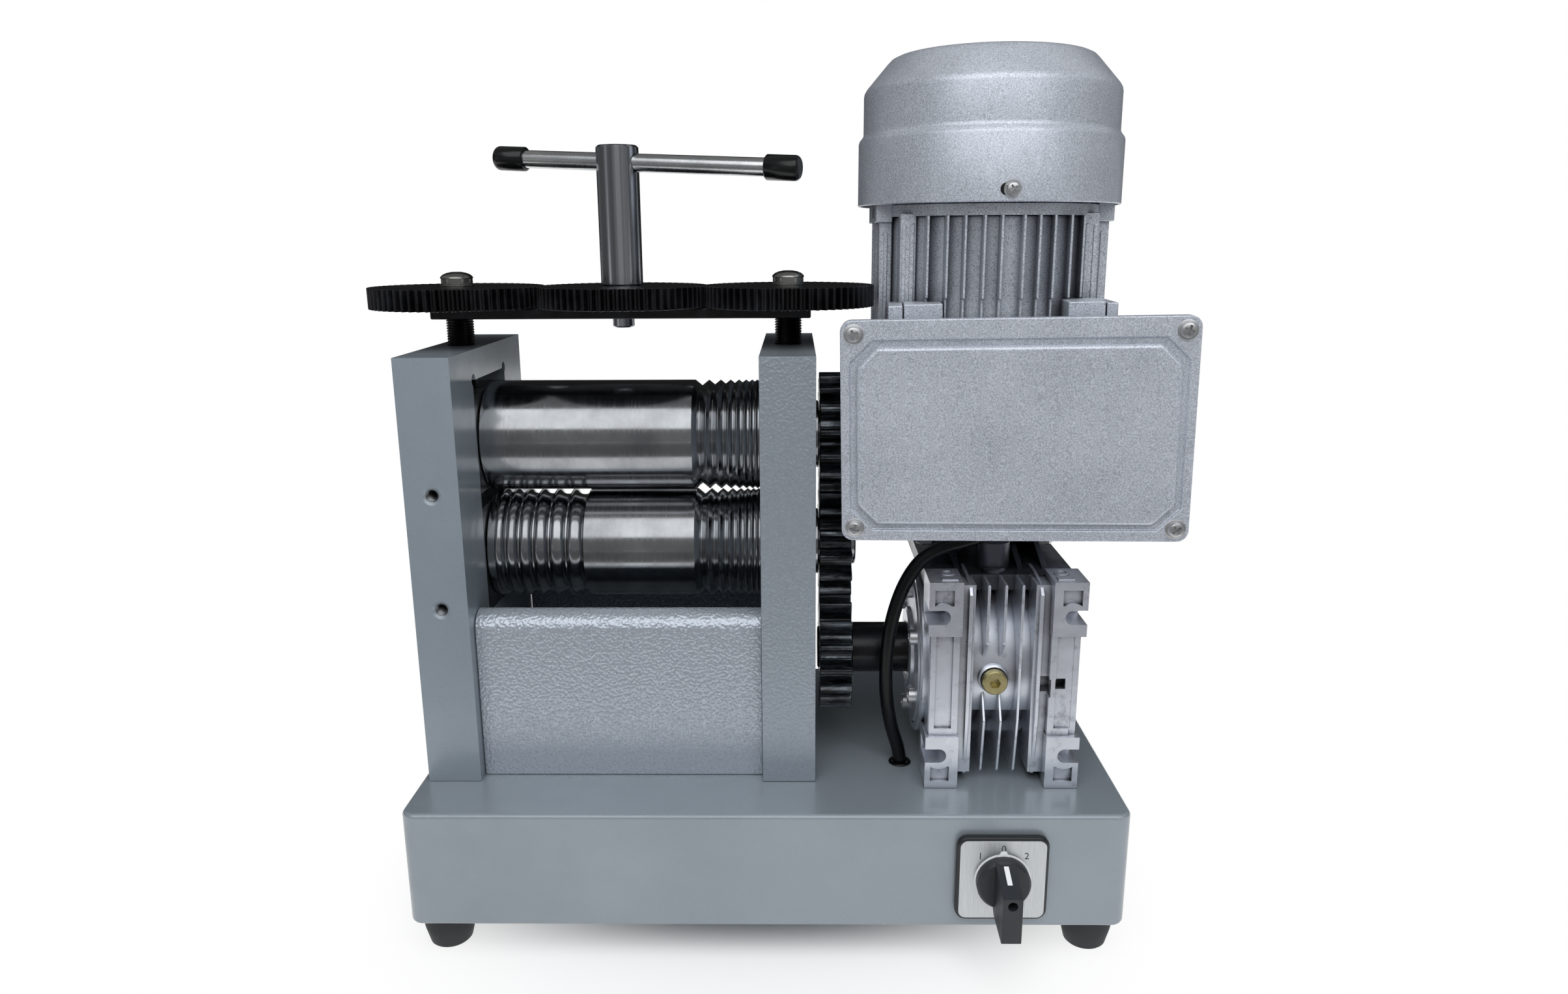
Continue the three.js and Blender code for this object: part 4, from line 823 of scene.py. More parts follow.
# Frames with their windows
def make_frame(node, x, holes, material):
    half = frame_thickness / 2
    reach = half + base_wall
    plate = slab(x - half, x + half, frame_front, frame_front + frame_depth, deck + seat_gap, frame_top)
    left, right = axis_y - window_width / 2, axis_y + window_width / 2
    tools = [slab(x - reach, x + reach, left, right, window_floor, window_top)]
    for y in (left + relief_radius / 2, right - relief_radius / 2):
        for z in (window_floor, window_top):
            tools.append(rod(relief_radius, "X", (y, z), x - reach, x + reach))
    bore_ends = (window_top - base_wall, frame_top + base_wall)
    tools.append(rod(screw_radius + seat_gap, "Z", (x, axis_y), *bore_ends))
    for z in holes:
        hole_ends = (frame_front - base_wall, frame_front + guide_hole_depth)
        tools.append(rod(guide_drill_radius, "Y", (x, z), *hole_ends))
        mouth = raised(frame_front, [
            (0, -past), (guide_mouth_radius, -past), (guide_mouth_radius, 0),
            (guide_drill_radius, guide_mouth_depth), (0, guide_mouth_depth),
        ])
        tools.append(turned(mouth, "Y", (x, z), FEW_SEGMENTS))
    return settle(cut(plate, *tools), node + "_plate", "stand", material, "frame_paint", node,
                  bevel=0.9, segments=3)


def make_hole_threads(name, x, z):
    """Bright ring and dark threads inside a guide hole."""
    profile = []
    for i in range(guide_thread_count):
        depth = frame_front + guide_thread_start + i * guide_thread_pitch
        profile += [(guide_thread_root, depth), (guide_thread_crest, depth + guide_thread_pitch / 2)]
    skin = list(reversed([(guide_thread_skin, depth) for _, depth in profile]))
    ring = turned(profile + skin, "Y", (x, z), FEW_SEGMENTS, closed=True)
    return settle(ring, name, "stand", ground_steel, "ground_steel")


def make_block(node, x, axis_z, low, high, body, pocket_sign):
    """Bearing block with two spring pockets in its top or underside."""
    half = frame_thickness / 2
    width = window_width / 2 - seat_gap
    plate = slab(x - half, x + half, axis_y - width, axis_y + width, low, high)
    tools = [rod(bush_outer + seat_gap, "X", (axis_y, axis_z), x - half - past, x + half + past, 64)]
    mouth = axis_z + pocket_sign * block_reach
    ends = sorted((mouth - pocket_sign * pocket_reach, mouth + pocket_sign * 3 * past))
    for side in (-1, 1):
        tools.append(rod(spring_pocket_radius, "Z", (x, axis_y + side * spring_offset), *ends))
    return settle(cut(plate, *tools), node + "_steel", body, ground_steel, "ground_steel", node, bevel=0.6)


def make_bush(node, x, axis_z, body):
    left, right = x - frame_thickness / 2, x + frame_thickness / 2
    inner, outer = 0.5, 0.4
    profile = [
        (bush_inner, left + inner), (bush_inner + inner, left), (bush_outer - outer, left),
        (bush_outer, left + outer), (bush_outer, right - outer), (bush_outer - outer, right),
        (bush_inner + inner, right), (bush_inner, right - inner),
    ]
    ring = turned(profile, "X", (axis_y, axis_z), SEGMENTS, closed=True)
    return settle(ring, node + "_bronze", body, bronze, "bronze", node)


def make_spring(node, x, y):
    low, high = (Vector(corner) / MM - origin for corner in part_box(node))
    steps = spring_turns * 24
    points = []
    for i in range(steps + 1):
        angle = i / 24 * full_turn
        height = low.z + spring_wire + (high.z - low.z - 2 * spring_wire) * i / steps
        points.append((x + spring_radius * math.cos(angle), y + spring_radius * math.sin(angle), height))
    wire = tube(points, spring_wire, 10)
    coil = settle(wire, node + "_coil", "", ground_steel, "ground_steel", node)
    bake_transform(coil)


# Rolls
def square_grooves():
    widths = [square_first * square_shrink_share ** i for i in range(square_count)]
    x = roll_right - square_land - sum(widths)
    points = [(roll_radius, x - 0.3)]
    for width in widths:
        root = roll_radius - square_depth_share * width + square_blunt
        edge = roll_radius - square_wear
        points += [(edge, x + 0.05), (root, x + width / 2 - square_blunt)]
        points += [(root, x + width / 2 + square_blunt), (edge, x + width - 0.05)]
        x += width
    return points


def round_grooves():
    points = []
    x = roll_left + round_start
    for i in range(round_count):
        width = round_first + i * round_growth
        for k in range(13):
            angle = k / 12 * math.pi
            depth = round_depth_share * width * math.sin(angle)
            points.append((roll_radius - depth, x + width / 2 * (1 - math.cos(angle))))
        x += width + round_land
    return points


def make_roll(node, axis_z, body, rounds):
    left_end = left_x - frame_thickness / 2 + roll_recess
    profile = [
        (0, left_end + 3), (2.2, left_end + 3), (3.8, left_end), (journal_radius - 0.8, left_end),
        (journal_radius, left_end + 0.8), (journal_radius, roll_left), (roll_radius - 0.6, roll_left),
        (roll_radius, roll_left + 0.6),
    ]
    profile += round_grooves() if rounds else []
    profile += square_grooves()
    profile += [
        (roll_radius, roll_right - 0.3), (roll_radius - 0.3, roll_right), (journal_radius, roll_right),
        (journal_radius, seat_left - 0.6), (journal_radius - 0.6, seat_left), (seat_radius, seat_left),
        (seat_radius, seat_right - 0.8), (seat_radius - 0.8, seat_right), (3.8, seat_right),
        (2.2, seat_right - 3), (0, seat_right - 3),
    ]
    roll = turned(profile, "X", (axis_y, axis_z), 144)
    return settle(roll, node + "_steel", body, roll_steel, "polished_steel", node, angle=24)


# Gears
def tooth_outline(teeth, places, phase):
    """Places are (radius, half width as a share of the tooth pitch), from root to tip."""
    pitch = full_turn / teeth
    points = []
    for tooth in range(teeth):
        centre = tooth * pitch + phase
        rising = [(radius, centre - share * pitch) for radius, share in places]
        falling = [(radius, centre + share * pitch) for radius, share in reversed(places)]
        for radius, angle in rising + falling:
            points.append((radius * math.cos(angle), radius * math.sin(angle)))
    return points


drive_places = (
    (26.9, 0.36), (27.1, 0.31), (28.2, 0.275), (30.3, 0.245), (32.4, 0.215), (34.4, 0.165), (36.1, 0.105),
    (36.75, 0.07),
)


def make_drive_gear(node, y, z, bore, phase, body):
    outline = [(y + a, z + b) for a, b in tooth_outline(drive_teeth, drive_places, phase)]
    gear = prism(outline, drive_left, drive_right, "X")
    gear = cut(gear, rod(bore, "X", (y, z), drive_left - past, drive_right + past, 64))
    return settle(gear, node + "_teeth", body, oily_sheen_steel, "black_steel", node, bevel=0.7, angle=40)


def make_drive_gears():
    half_tooth = math.pi / drive_teeth
    quarter = math.pi / 2
    lean = math.atan2(lower_z - output_z, axis_y - output_y)
    bore = seat_radius + slip
    shaft_bore = shaft_radius + slip
    phase = quarter + half_tooth
    pinion_phase = 2 * lean - quarter + half_tooth
    make_drive_gear("lower_roll_gear", axis_y, lower_z, bore, quarter, "lower_roll_set")
    make_drive_gear("upper_roll_gear", axis_y, upper_z, bore, phase, "upper_roll_set")
    make_drive_gear("drive_pinion", output_y, output_z, shaft_bore, pinion_phase, "output")


def make_adjust_gear(node, x, bore, phase, body):
    pitch_radius = adjust_module * adjust_teeth / 2
    root = pitch_radius - adjust_module - 0.4
    places = (
        (root, 0.36), (root + 0.2, 0.3), (pitch_radius, 0.235), (pitch_radius + 1.1, 0.16),
        (pitch_radius + adjust_module, 0.11),
    )
    outline = [(x + a, axis_y + b) for a, b in tooth_outline(adjust_teeth, places, phase)]
    gear = prism(outline, adjust_z, adjust_top)
    gear = cut(gear, rod(bore, "Z", (x, axis_y), adjust_z - past, adjust_top + past, 48))
    return settle(gear, node + "_teeth", body, black_steel, "black_steel", node, bevel=0.35, angle=40)


# Pressure screws with cut threads, and their caps
def thread(x, y, low, high):
    around = 40
    rows = int((high - low) / thread_pitch * 6)
    vertices = []
    for row in range(rows + 1):
        height = low + (high - low) * row / rows
        for k in range(around):
            phase = (height / thread_pitch - k / around) % 1
            radius = screw_radius - thread_depth * abs(2 * phase - 1)
            angle = k / around * full_turn
            vertices.append((x + radius * math.cos(angle), y + radius * math.sin(angle), height))
    faces = [tuple(range(around)), tuple(range(rows * around, (rows + 1) * around))]
    for start in range(0, rows * around, around):
        above = start + around
        for k in range(around):
            n = (k + 1) % around
            faces.append((start + k, start + n, above + n, above + k))
    return solid(vertices, faces)


def make_screw(side, x, body):
    node = side + "_pressure_screw"
    shank = thread(x, axis_y, screw_low, strap_z - seat_gap)
    neck = rod(screw_neck_radius, "Z", (x, axis_y), strap_z - seat_gap, adjust_top, 48)
    settle(gather(shank, neck), node + "_thread", body, black_steel, "black_steel", node, angle=60)
    cap = turned(raised(adjust_top + seat_gap, [
        (0, 0), (9.6, 0), (9.6, 0.8), (8.9, 1.3), (8.9, 4.0), (9.3, 4.4), (8.9, 5.3), (7.6, 6.4),
        (5.4, 7.3), (2.8, 7.8), (0, 7.9),
    ]), "Z", (x, axis_y), 64)
    settle(cap, side + "_cap_dome", body, cap_steel, "ground_steel", side + "_gear_cap")


def make_strap():
    left, right = left_x - strap_reach, right_x + strap_reach
    half = strap_width / 2
    bar = slab(left, right, axis_y - half, axis_y + half, strap_z, strap_z + strap_thickness)
    return settle(bar, "strap_bar", "carriage", black_steel, "black_steel", "gear_strap", bevel=0.8)


# Handle
def make_post():
    low = adjust_top + seat_gap
    post = turned([
        (0, post_low), (post_pin_radius - 0.8, post_low), (post_pin_radius, post_low + 0.8),
        (post_pin_radius, adjust_z), (post_neck_radius, adjust_z), (post_neck_radius, low), (11.4, low),
        (post_radius, low + 0.6), (post_radius, post_top - 1.2), (post_radius - 1.2, post_top),
        (0, post_top),
    ], "Z", (handle_x, axis_y), SEGMENTS)
    hole = rod(bar_radius + 0.3, "X", (0, 0), -20, 20, 48)
    place_on_bar(hole)
    return settle(cut(post, hole), "post_steel", "handle", post_steel, "polished_steel", "handle_post",
                  bevel=0.3, angle=35)


def place_on_bar(part):
    turn = Matrix.Rotation(bar_turn, 4, "Z") @ Matrix.Rotation(bar_droop, 4, "Y")
    return moved(part, Matrix.Translation((handle_x, axis_y, bar_z)) @ turn)


def make_bar():
    bar = turned([
        (0, -bar_left), (bar_radius - 0.6, -bar_left), (bar_radius, -bar_left + 0.6),
        (bar_radius, bar_right - 0.6), (bar_radius - 0.6, bar_right), (0, bar_right),
    ], "X", (0, 0), 48)
    settle(place_on_bar(bar), "tommy_bar", "bar", bar_steel, "polished_steel", "handle_bar")


def make_grip(node, end, sign):
    outer = end + sign * (seat_gap + grip_end)
    inner = outer - sign * grip_length
    bore = bar_radius + 0.15
    wall = outer - sign * 1.5
    profile = [
        (bore, inner), (grip_radius - 0.7, inner), (grip_radius, inner + sign * 0.7),
        (grip_radius, outer - sign * grip_round),
    ]
    for i in range(1, 7):
        angle = i / 6 * math.pi / 2
        radius = grip_radius - grip_round + grip_round * math.cos(angle)
        profile.append((radius, outer - sign * grip_round * (1 - math.sin(angle))))
    profile += [(0, outer), (0, wall), (bore, wall)]
    grip = turned(profile, "X", (0, 0), 48, closed=True)
    settle(place_on_bar(grip), node + "_cap", "bar", grip_vinyl, "black_plastic", node, angle=50)


# Skirts
def make_skirt(node, rear):
    steps = 12
    middle_y = skirt_front + skirt_bend
    middle_z = skirt_top - skirt_bend
    end = middle_y + skirt_flat
    low = deck + seat_gap
    within = skirt_bend - skirt_sheet
    outer = []
    inner = []
    for i in range(steps + 1):
        angle = math.pi - i / steps * math.pi / 2
        across, up = math.cos(angle), math.sin(angle)
        outer.append((middle_y + skirt_bend * across, middle_z + skirt_bend * up))
        inner.append((middle_y + within * across, middle_z + within * up))
    outline = [
        (skirt_front, low), *outer, (end, skirt_top), (end, skirt_top - skirt_sheet), *reversed(inner),
        (skirt_front + skirt_sheet, low),
    ]
    if rear:
        outline = [(2 * axis_y - y, z) for y, z in outline]
    reach = frame_thickness / 2 + 0.35
    sheet_metal = prism(outline, left_x + reach, right_x - reach, "X")
    settle(sheet_metal, node + "_sheet", "stand", skirt_paint, "hammer_paint", node, bevel=0.4, angle=40)


# Gearbox
def mirrored(side, near, far):
    """Two X values at the given distances from the casting's middle, in rising order."""
    return sorted((casting_x + side * near, casting_x + side * far))


def pad_tools(side, end):
    """Slot through one pad of a foot rail, and the shallow pocket beside it."""
    x = casting_x + side * (gearbox_half - slot_inset)
    z = gearbox_mid + end * slot_spread
    before = gearbox_front - 2
    ends = (before, gearbox_front + slot_depth)
    mouth = sorted((x, x + side * (slot_inset + 3)))
    pocket_x = x - side * 0.6
    pocket_z = z + end * pocket_spread
    half_w, half_h = pocket_width / 2, pocket_height / 2
    pocket = slab(pocket_x - half_w, pocket_x + half_w, before, gearbox_front + pocket_depth,
                  pocket_z - half_h, pocket_z + half_h)
    ring = rod(slot_ring, "Y", (x, z), before - past, gearbox_front + 9, 48)
    return [
        rod(slot_radius, "Y", (x, z), *ends),
        slab(*mouth, *ends, z - slot_radius, z + slot_radius),
        cut(pocket, ring),
    ]


def rail_windows(panel, face):
    """Two small openings in the right rail, the inner one with a sloping foot."""
    middle = sum(panel) / 2 - 2
    inner = (casting_x + 21, casting_x + 26)
    back = face + 18
    low = window_mid - 3.6
    return [
        slab(middle - 3, middle + 3, gearbox_front, back, window_mid - 3.1, window_mid + 3.1),
        slab(*inner, gearbox_front, back, low, window_mid + 3.2),
        prism([(face, low), (face + 12, low), (face, window_mid - 7.6)], *inner, "X"),
    ]


def gearbox_rail(side):
    """Foot rail with a slotted pad at each end and a recessed panel between them."""
    low = deck + seat_gap
    top = gearbox_top
    face = gearbox_front + rail_setback
    inner = gearbox_half - pad_width
    strip_face = face + (1.5 if side > 0 else 0)
    web_face = gearbox_front + web_setback
    body = fuse(
        slab(*mirrored(side, inner + 0.6, gearbox_half - 6), face, rail_back, low, top),
        slab(*mirrored(side, gearbox_half - 2, gearbox_half - rail_inset), strip_face, rail_back, low, top),
        slab(*mirrored(side, inner - 8, inner + 1), web_face, rail_back, low + 6, top - 4),
        slab(*mirrored(side, gearbox_half - 7, gearbox_half - 1.6), face + 2, rail_back, low, top),
    )
    pads = []
    tools = []
    for end, tip in ((-1, low), (1, top)):
        z0, z1 = sorted((tip, tip - end * pad_height))
        pads.append(slab(*mirrored(side, inner, gearbox_half), gearbox_front, rail_back, z0, z1))
        tools += pad_tools(side, end)
    body = fuse(body, *pads)
    panel = mirrored(side, gearbox_half - 4.9, gearbox_half - 14.4)
    heights = (low + pad_height + 4, top - pad_height - 0.5)
    tools.append(slab(*panel, gearbox_front - 2, face + 1.8, *heights))
    if side > 0:
        tools += rail_windows(panel, face)
    return cut(body, *tools)


def gearbox_wing(side):
    """Thin wall beside the rail, whose top leans back towards the crown."""
    front = gearbox_front + 5
    outline = [
        (front + 4, deck + 5), (front, gearbox_mid - 22), (front, gearbox_top - 9),
        (front + 4, gearbox_top - 4), (front + 24, gearbox_top - 2), (gearbox_back, gearbox_top - 2),
        (gearbox_back, deck + 4), (front + 12, deck + 1),
    ]
    plate = prism(outline, *mirrored(side, wing_near, wing_far), "X")
    foot = prism([
        (front + 4, deck + 7), (front + 6, deck + 7), (front + 16, deck + 0.4), (front + 14, deck + 0.4),
    ], *mirrored(side, wing_near, gearbox_half - pad_width + 1), "X")
    return fuse(plate, foot)


def gearbox_fin(x, name, outline):
    """Upright fin plate with a thin rounded front edge."""
    plate = prism(outline, x - fin_thickness / 2, x + fin_thickness / 2, "X")
    settle(plate, name, "stand", casting, "cast_aluminium", bevel=0.55, segments=3)


def make_gearbox_fins():
    front = gearbox_front + 4.1
    back = gearbox_back
    low = deck + 5
    skin = output_y - barrel_radius
    top = gearbox_top - 3
    bend = (front, gearbox_mid - 22)
    foot = [(front + 5, low + 2), (front + 7, low), (back, low)]
    whole = [(front, top), bend, *foot, (back, top)]
    shelf = gearbox_mid + 13
    upper = [(front, top), (front, gearbox_mid + 24), (skin + 1.5, shelf), (back, shelf), (back, top)]
    lower = [(skin + 1, gearbox_mid - 7), bend, *foot, (back, gearbox_mid - 7)]
    for name, offset in (("left", -fin_pitch), ("middle", 0)):
        gearbox_fin(fin_x + offset, "gearbox_" + name + "_upper_fin", upper)
        gearbox_fin(fin_x + offset, "gearbox_" + name + "_lower_fin", lower)
    gearbox_fin(fin_x + fin_pitch, "gearbox_right_fin", whole)


def gearbox_solids(ends):
    """Barrel without its underside, its core, the neck and web up to the motor, plug boss and rim."""
    axis = (output_y, output_z)
    barrel = rod(barrel_radius, "X", axis, *ends, 160)
    under = slab(casting_x - 17, casting_x + 17, 0, gearbox_back, deck - 5, gearbox_mid - 20.5)
    barrel = cut(barrel, under)
    core = rod(barrel_radius - 6, "X", axis, *ends, 128)
    low = deck + 8
    neck = rod(28, "Z", (gearbox_x, motor_y), low, flange_z - flange_depth, 64)
    web = slab(gearbox_x - 28, gearbox_x + 28, output_y, motor_y, low, gearbox_top - 13)
    boss = turned(raised(plug_face, [
        (0, 0), (plug_seat - 1.2, 0), (plug_seat, 1), (plug_seat, 28), (0, 28),
    ]), "Y", (plug_x, plug_z), 64)
    rim = turned(raised(ends[0], [
        (45.4, -1), (45.4, -5.5), (48.6, -5.5), (50, -4.2), (50, -1),
    ]), "X", axis, SEGMENTS, closed=True)
    return barrel, core, neck, web, boss, rim


def make_gearbox():
    half = gearbox_half - 3.5
    axis = (output_y, output_z)
    body = fuse(*gearbox_solids((casting_x - half, casting_x + half)))
    head_room = rod(plug_radius + 0.5, "Y", (plug_x, plug_z), plug_face - 7, plug_face - 0.2, 48)
    cover_room = rod(cover_radius + seat_gap, "X", axis, gearbox_x - 50, cover_face + 0.1, SEGMENTS)
    shaft_room = rod(collar_radius + 2, "X", axis, gearbox_x, gearbox_x + 50, 64)
    body = cut(body, head_room, cover_room, shaft_room)
    look = (casting, "cast_aluminium")
    settle(body, "gearbox_barrel", "stand", *look, "gearbox_housing", bevel=0.9, segments=3)
    for name, side in (("left", -1), ("right", 1)):
        settle(gearbox_rail(side), "gearbox_" + name + "_rail", "stand", *look, bevel=0.7)
        settle(gearbox_wing(side), "gearbox_" + name + "_wing", "stand", *look, bevel=0.6, segments=3)
    make_gearbox_fins()
    make_crown()


def make_crown():
    """Top of the casting under the motor, in a darker casting that paints the lid's shadow: worm tube, input
    flange and gussets.
    """
    front = gearbox_front + 24
    crown = slab(casting_x - 42, casting_x + 42, front, motor_y + 20, gearbox_top - 12, gearbox_top - 3)
    flange = rod(flange_radius, "Z", (gearbox_x, motor_y), flange_z - flange_depth, flange_z, SEGMENTS)
    worm_tube = rod(9.3, "Z", (gearbox_x - 1.5, gearbox_front + 39), gearbox_top - 5, flange_z - 6, 48)
    tube_foot = turned(raised(gearbox_top - 0.6, [
        (0, -3.4), (6.4, -3.4), (6.4, -1), (5.2, 0), (0, 0),
    ]), "Z", (gearbox_x - 2, gearbox_front + 31), 40)
    gussets = []
    for offset in (-24, 12, 26):
        gussets.append(prism([
            (gearbox_front + 30, gearbox_top - 4), (motor_y - 40, flange_z - 8), (motor_y, flange_z - 8),
            (motor_y, gearbox_top - 4),
        ], gearbox_x + offset, gearbox_x + offset + 3, "X"))
    body = fuse(crown, flange, worm_tube, tube_foot, *gussets)
    settle(body, "gearbox_crown", "stand", lid_shadow_casting, "cast_aluminium", bevel=0.6)


def make_gearbox_bolts():
    """Flange bolts above, and a boss with a square recess on top of each rail."""
    profile = raised(gearbox_top, [(0, 0.5), (6, 0.5), (6.4, 1), (6.4, 6.8), (0, 6.8)])
    centres = circle((gearbox_x, motor_y), flange_bolt_circle, 4)
    parts = [turned(profile, "Z", centre, 6) for centre in centres]
    settle(gather(*parts), "flange_bolts", "stand", screw_zinc, "ground_steel", bevel=0.4)
    bosses = []
    profile = raised(gearbox_top, [
        (0, -1), (4.4, -1), (4.4, 0.6), (3.8, 1.1), (2.6, 1.1), (2.6, 0.2), (0, 0.2),
    ])
    for side in (-1, 1):
        x = casting_x + side * (gearbox_half - 11.5)
        depths = (gearbox_front + 3.5, gearbox_front + 9.5)
        bosses.append(turned(profile, "Z", (x, gearbox_front + 16), 40))
        bosses.append(slab(x - 4.6, x + 4.6, *depths, gearbox_top - 1, gearbox_top + 0.7))
    settle(gather(*bosses), "rail_bosses", "stand", casting, "cast_aluminium", bevel=0.4)


def make_output_cover():
    face = cover_face - seat_gap
    cover = turned(raised(face, [
        (15.4, 0), (15.4, -7.5), (16.2, -8), (22.8, -8), (24, -7.2), (24.6, -5.4),
        (cover_radius - 1.4, -5.2), (cover_radius, -3.8), (cover_radius, 0),
    ]), "X", (output_y, output_z), SEGMENTS, closed=True)
    settle(cover, "output_cover_plate", "stand", casting, "cast_aluminium", "output_cover")
    profile = raised(face, [
        (0, -6.4), (2.2, -6.4), (2.4, -9.6), (4.2, -9.6), (4.6, -9), (4.6, -5.1), (0, -5.1),
    ])
    centres = circle((output_y, output_z), cover_bolt_circle, 6)
    heads = [turned(profile, "X", centre, 24) for centre in centres]
    settle(gather(*heads), "output_cover_bolts", "stand", screw_zinc, "ground_steel")


def make_plug():
    seat = plug_face - seat_gap
    centre = (plug_x, plug_z)
    head = turned(raised(seat, [
        (0, -5), (plug_radius - 0.7, -5), (plug_radius, -4.3), (plug_radius, 0), (4.8, 0), (4.8, 8),
        (0, 8),
    ]), "Y", centre, 64)
    socket = rod(3.1, "Y", centre, seat - 7, seat - 1.4, 6)
    settle(cut(head, socket), "plug_head", "stand", brass, "brass", "oil_plug", bevel=0.3, angle=30)
    washer = raised(seat, [(5, 0.1), (7.5, 0.1), (7.5, 0.28), (5, 0.28)])
    washer = turned(washer, "Y", centre, 48, closed=True)
    settle(washer, "plug_washer", "stand", cable_vinyl, "rubber")


def make_output_shaft():
    shaft = turned([
        (0, drive_left - 1), (shaft_radius - 0.7, drive_left - 1), (shaft_radius, drive_left - seat_gap),
        (shaft_radius, drive_right + seat_gap), (collar_radius - 0.6, drive_right + seat_gap),
        (collar_radius, drive_right + 1), (collar_radius, gearbox_x - 31), (shaft_radius, gearbox_x - 31),
        (shaft_radius, gearbox_x + 40), (0, gearbox_x + 40),
    ], "X", (output_y, output_z), SEGMENTS)
    settle(shaft, "output_shaft_bar", "output", black_steel, "black_steel", "output_shaft")


# Motor
def make_end_shield():
    disc = turned(raised(flange_z + seat_gap, [
        (10, 0), (61, 0), (62, 1), (62, 8), (60.5, 10), (10, 10),
    ]), "Z", (gearbox_x, motor_y), SEGMENTS, closed=True)
    settle(disc, "end_shield_ring", "stand", motor_paint, "motor_paint", "motor_end_shield", angle=40)


def fin_blade(x, y0, y1, low, high):
    """Upright fin from its foot at y0 to a thinner tip at y1."""
    root, tip = 1.5, 0.65
    outline = [(x - root, y0), (x - tip, y1), (x + tip, y1), (x + root, y0)]
    return prism(outline, low, high)


def fin_reach(radius, offset):
    """How far from the motor's middle a fin at this offset meets the given radius."""
    return math.sqrt(radius ** 2 - offset ** 2)


def make_motor():
    low, high = motor_low, motor_high
    centre = (gearbox_x, motor_y)
    sunk = motor_radius - 2
    core = turned([
        (0, low), (groove_radius, low), (groove_radius, fin_top), (motor_radius, fin_top),
        (motor_radius, high), (0, high),
    ], "Z", centre)
    half_bore = rod(motor_radius - 6, "Z", centre, low - past, high - 8, 64)
    look = (fin_paint, "motor_paint")
    settle(cut(core, half_bore), "motor_barrel", "stand", *look, "motor_housing", bevel=0.8)
    shade = turned([
        (sunk, fin_top), (fin_radius - 4, fin_top), (fin_radius - 4, hood_low - seat_gap),
        (sunk, hood_low - seat_gap),
    ], "Z", centre, closed=True)
    settle(shade, "motor_collar", "stand", *look)
    fins = []
    for offset in front_fins:
        x = gearbox_x + offset
        foot = fin_reach(sunk, offset)
        for reach, z0, z1 in ((fin_radius, fin_step, fin_top), (fin_radius - fin_setback, low, fin_step)):
            tip = fin_reach(reach, offset)
            for sign in (-1, 1):
                fins.append(fin_blade(x, motor_y + sign * foot, motor_y + sign * tip, z0, z1))
    settle(gather(*fins), "motor_front_fins", "stand", *look, bevel=0.4, segments=3)
    sides = []
    for i in range(side_fin_count):
        offset = (i - (side_fin_count - 1) / 2) * side_fin_pitch
        ends = (fin_reach(sunk, offset), fin_reach(side_fin_radius, offset))
        for turn in (1, -1):
            blade = fin_blade(offset, *ends, low, fin_top)
            spin(blade, turn * math.pi / 2, "Z")
            sides.append(shifted(blade, gearbox_x, motor_y, 0))
    settle(gather(*sides), "motor_side_fins", "stand", *look, bevel=0.4, segments=3)


def at_corners(near, far, front, back, low, high):
    """The same block at the four corners of the motor, by its distances from the axis."""
    blocks = []
    for sign_x in (-1, 1):
        for sign_y in (-1, 1):
            x0, x1 = sorted((gearbox_x + sign_x * near, gearbox_x + sign_x * far))
            y0, y1 = sorted((motor_y + sign_y * front, motor_y + sign_y * back))
            blocks.append(slab(x0, x1, y0, y1, low, high))
    return blocks


def make_motor_corners():
    """Four stepped shoulders with a pillar beside them, and a lug at the top of each."""
    blocks = []
    for near, far, front, back, top in corner_blocks:
        blocks += at_corners(near, far, front, back, motor_low, motor_high - top)
    blocks += at_corners(*corner_lug)
    settle(gather(*blocks), "motor_corners", "stand", fin_paint, "motor_paint", bevel=0.7, segments=3)


def make_pads():
    """Pads on the motor's front that carry the terminal box, in the box's own frame."""
    blocks = []
    back = motor_y - lid_y - motor_radius + 6
    front = lid_thickness + seat_gap + box_depth + seat_gap
    for x0, x1, rise in box_pads:
        blocks.append(slab(x0, x1, front, back + 14, -42, lid_height / 2 + rise))
    return settle(place_on_lid(gather(*blocks)), "box_pads", "stand", fin_paint, "motor_paint", bevel=0.7)


def make_hood():
    profile = [
        (hood_inside, hood_low), (75.4, hood_low), (76.3, hood_low), (hood_radius, hood_low + 0.5),
        (hood_radius, hood_step - 2.2), (76.2, hood_step - 0.6), (74.6, hood_step + 1.4),
        (73.95, hood_step + 2.6), (neck_radius, hood_step + 4), (neck_radius, hood_cone - 2),
        (73.5, hood_cone), (neck_inside, hood_cone + 2), (60.6, hood_high - 3.4), (58.6, hood_high - 1.4),
        (56.2, hood_high - 0.3), (53, hood_high), (0, hood_high), (0, hood_high - 1.5),
        (55, hood_high - 1.5), (58.5, hood_high - 4), (neck_inside, hood_cone),
        (neck_inside, hood_step + 1), (hood_inside, hood_step - 2.5), (hood_inside, hood_low + 2),
    ]
    shell = turned(profile, "Z", (gearbox_x, motor_y), 144, closed=True)
    outline = rounded(vent_length, vent_width, vent_corner, 6, (vent_reach, 0))
    vents = []
    for i in range(vent_count):
        angle = (i + 0.5) / vent_count * full_turn
        slot = prism(outline, hood_high - 4, hood_high + 2)
        spin(slot, angle, "Z")
        vents.append(shifted(slot, gearbox_x, motor_y, 0))
    settle(cut(shell, *vents), "fan_hood", "stand", motor_paint, "motor_paint", "fan_cover", angle=28)


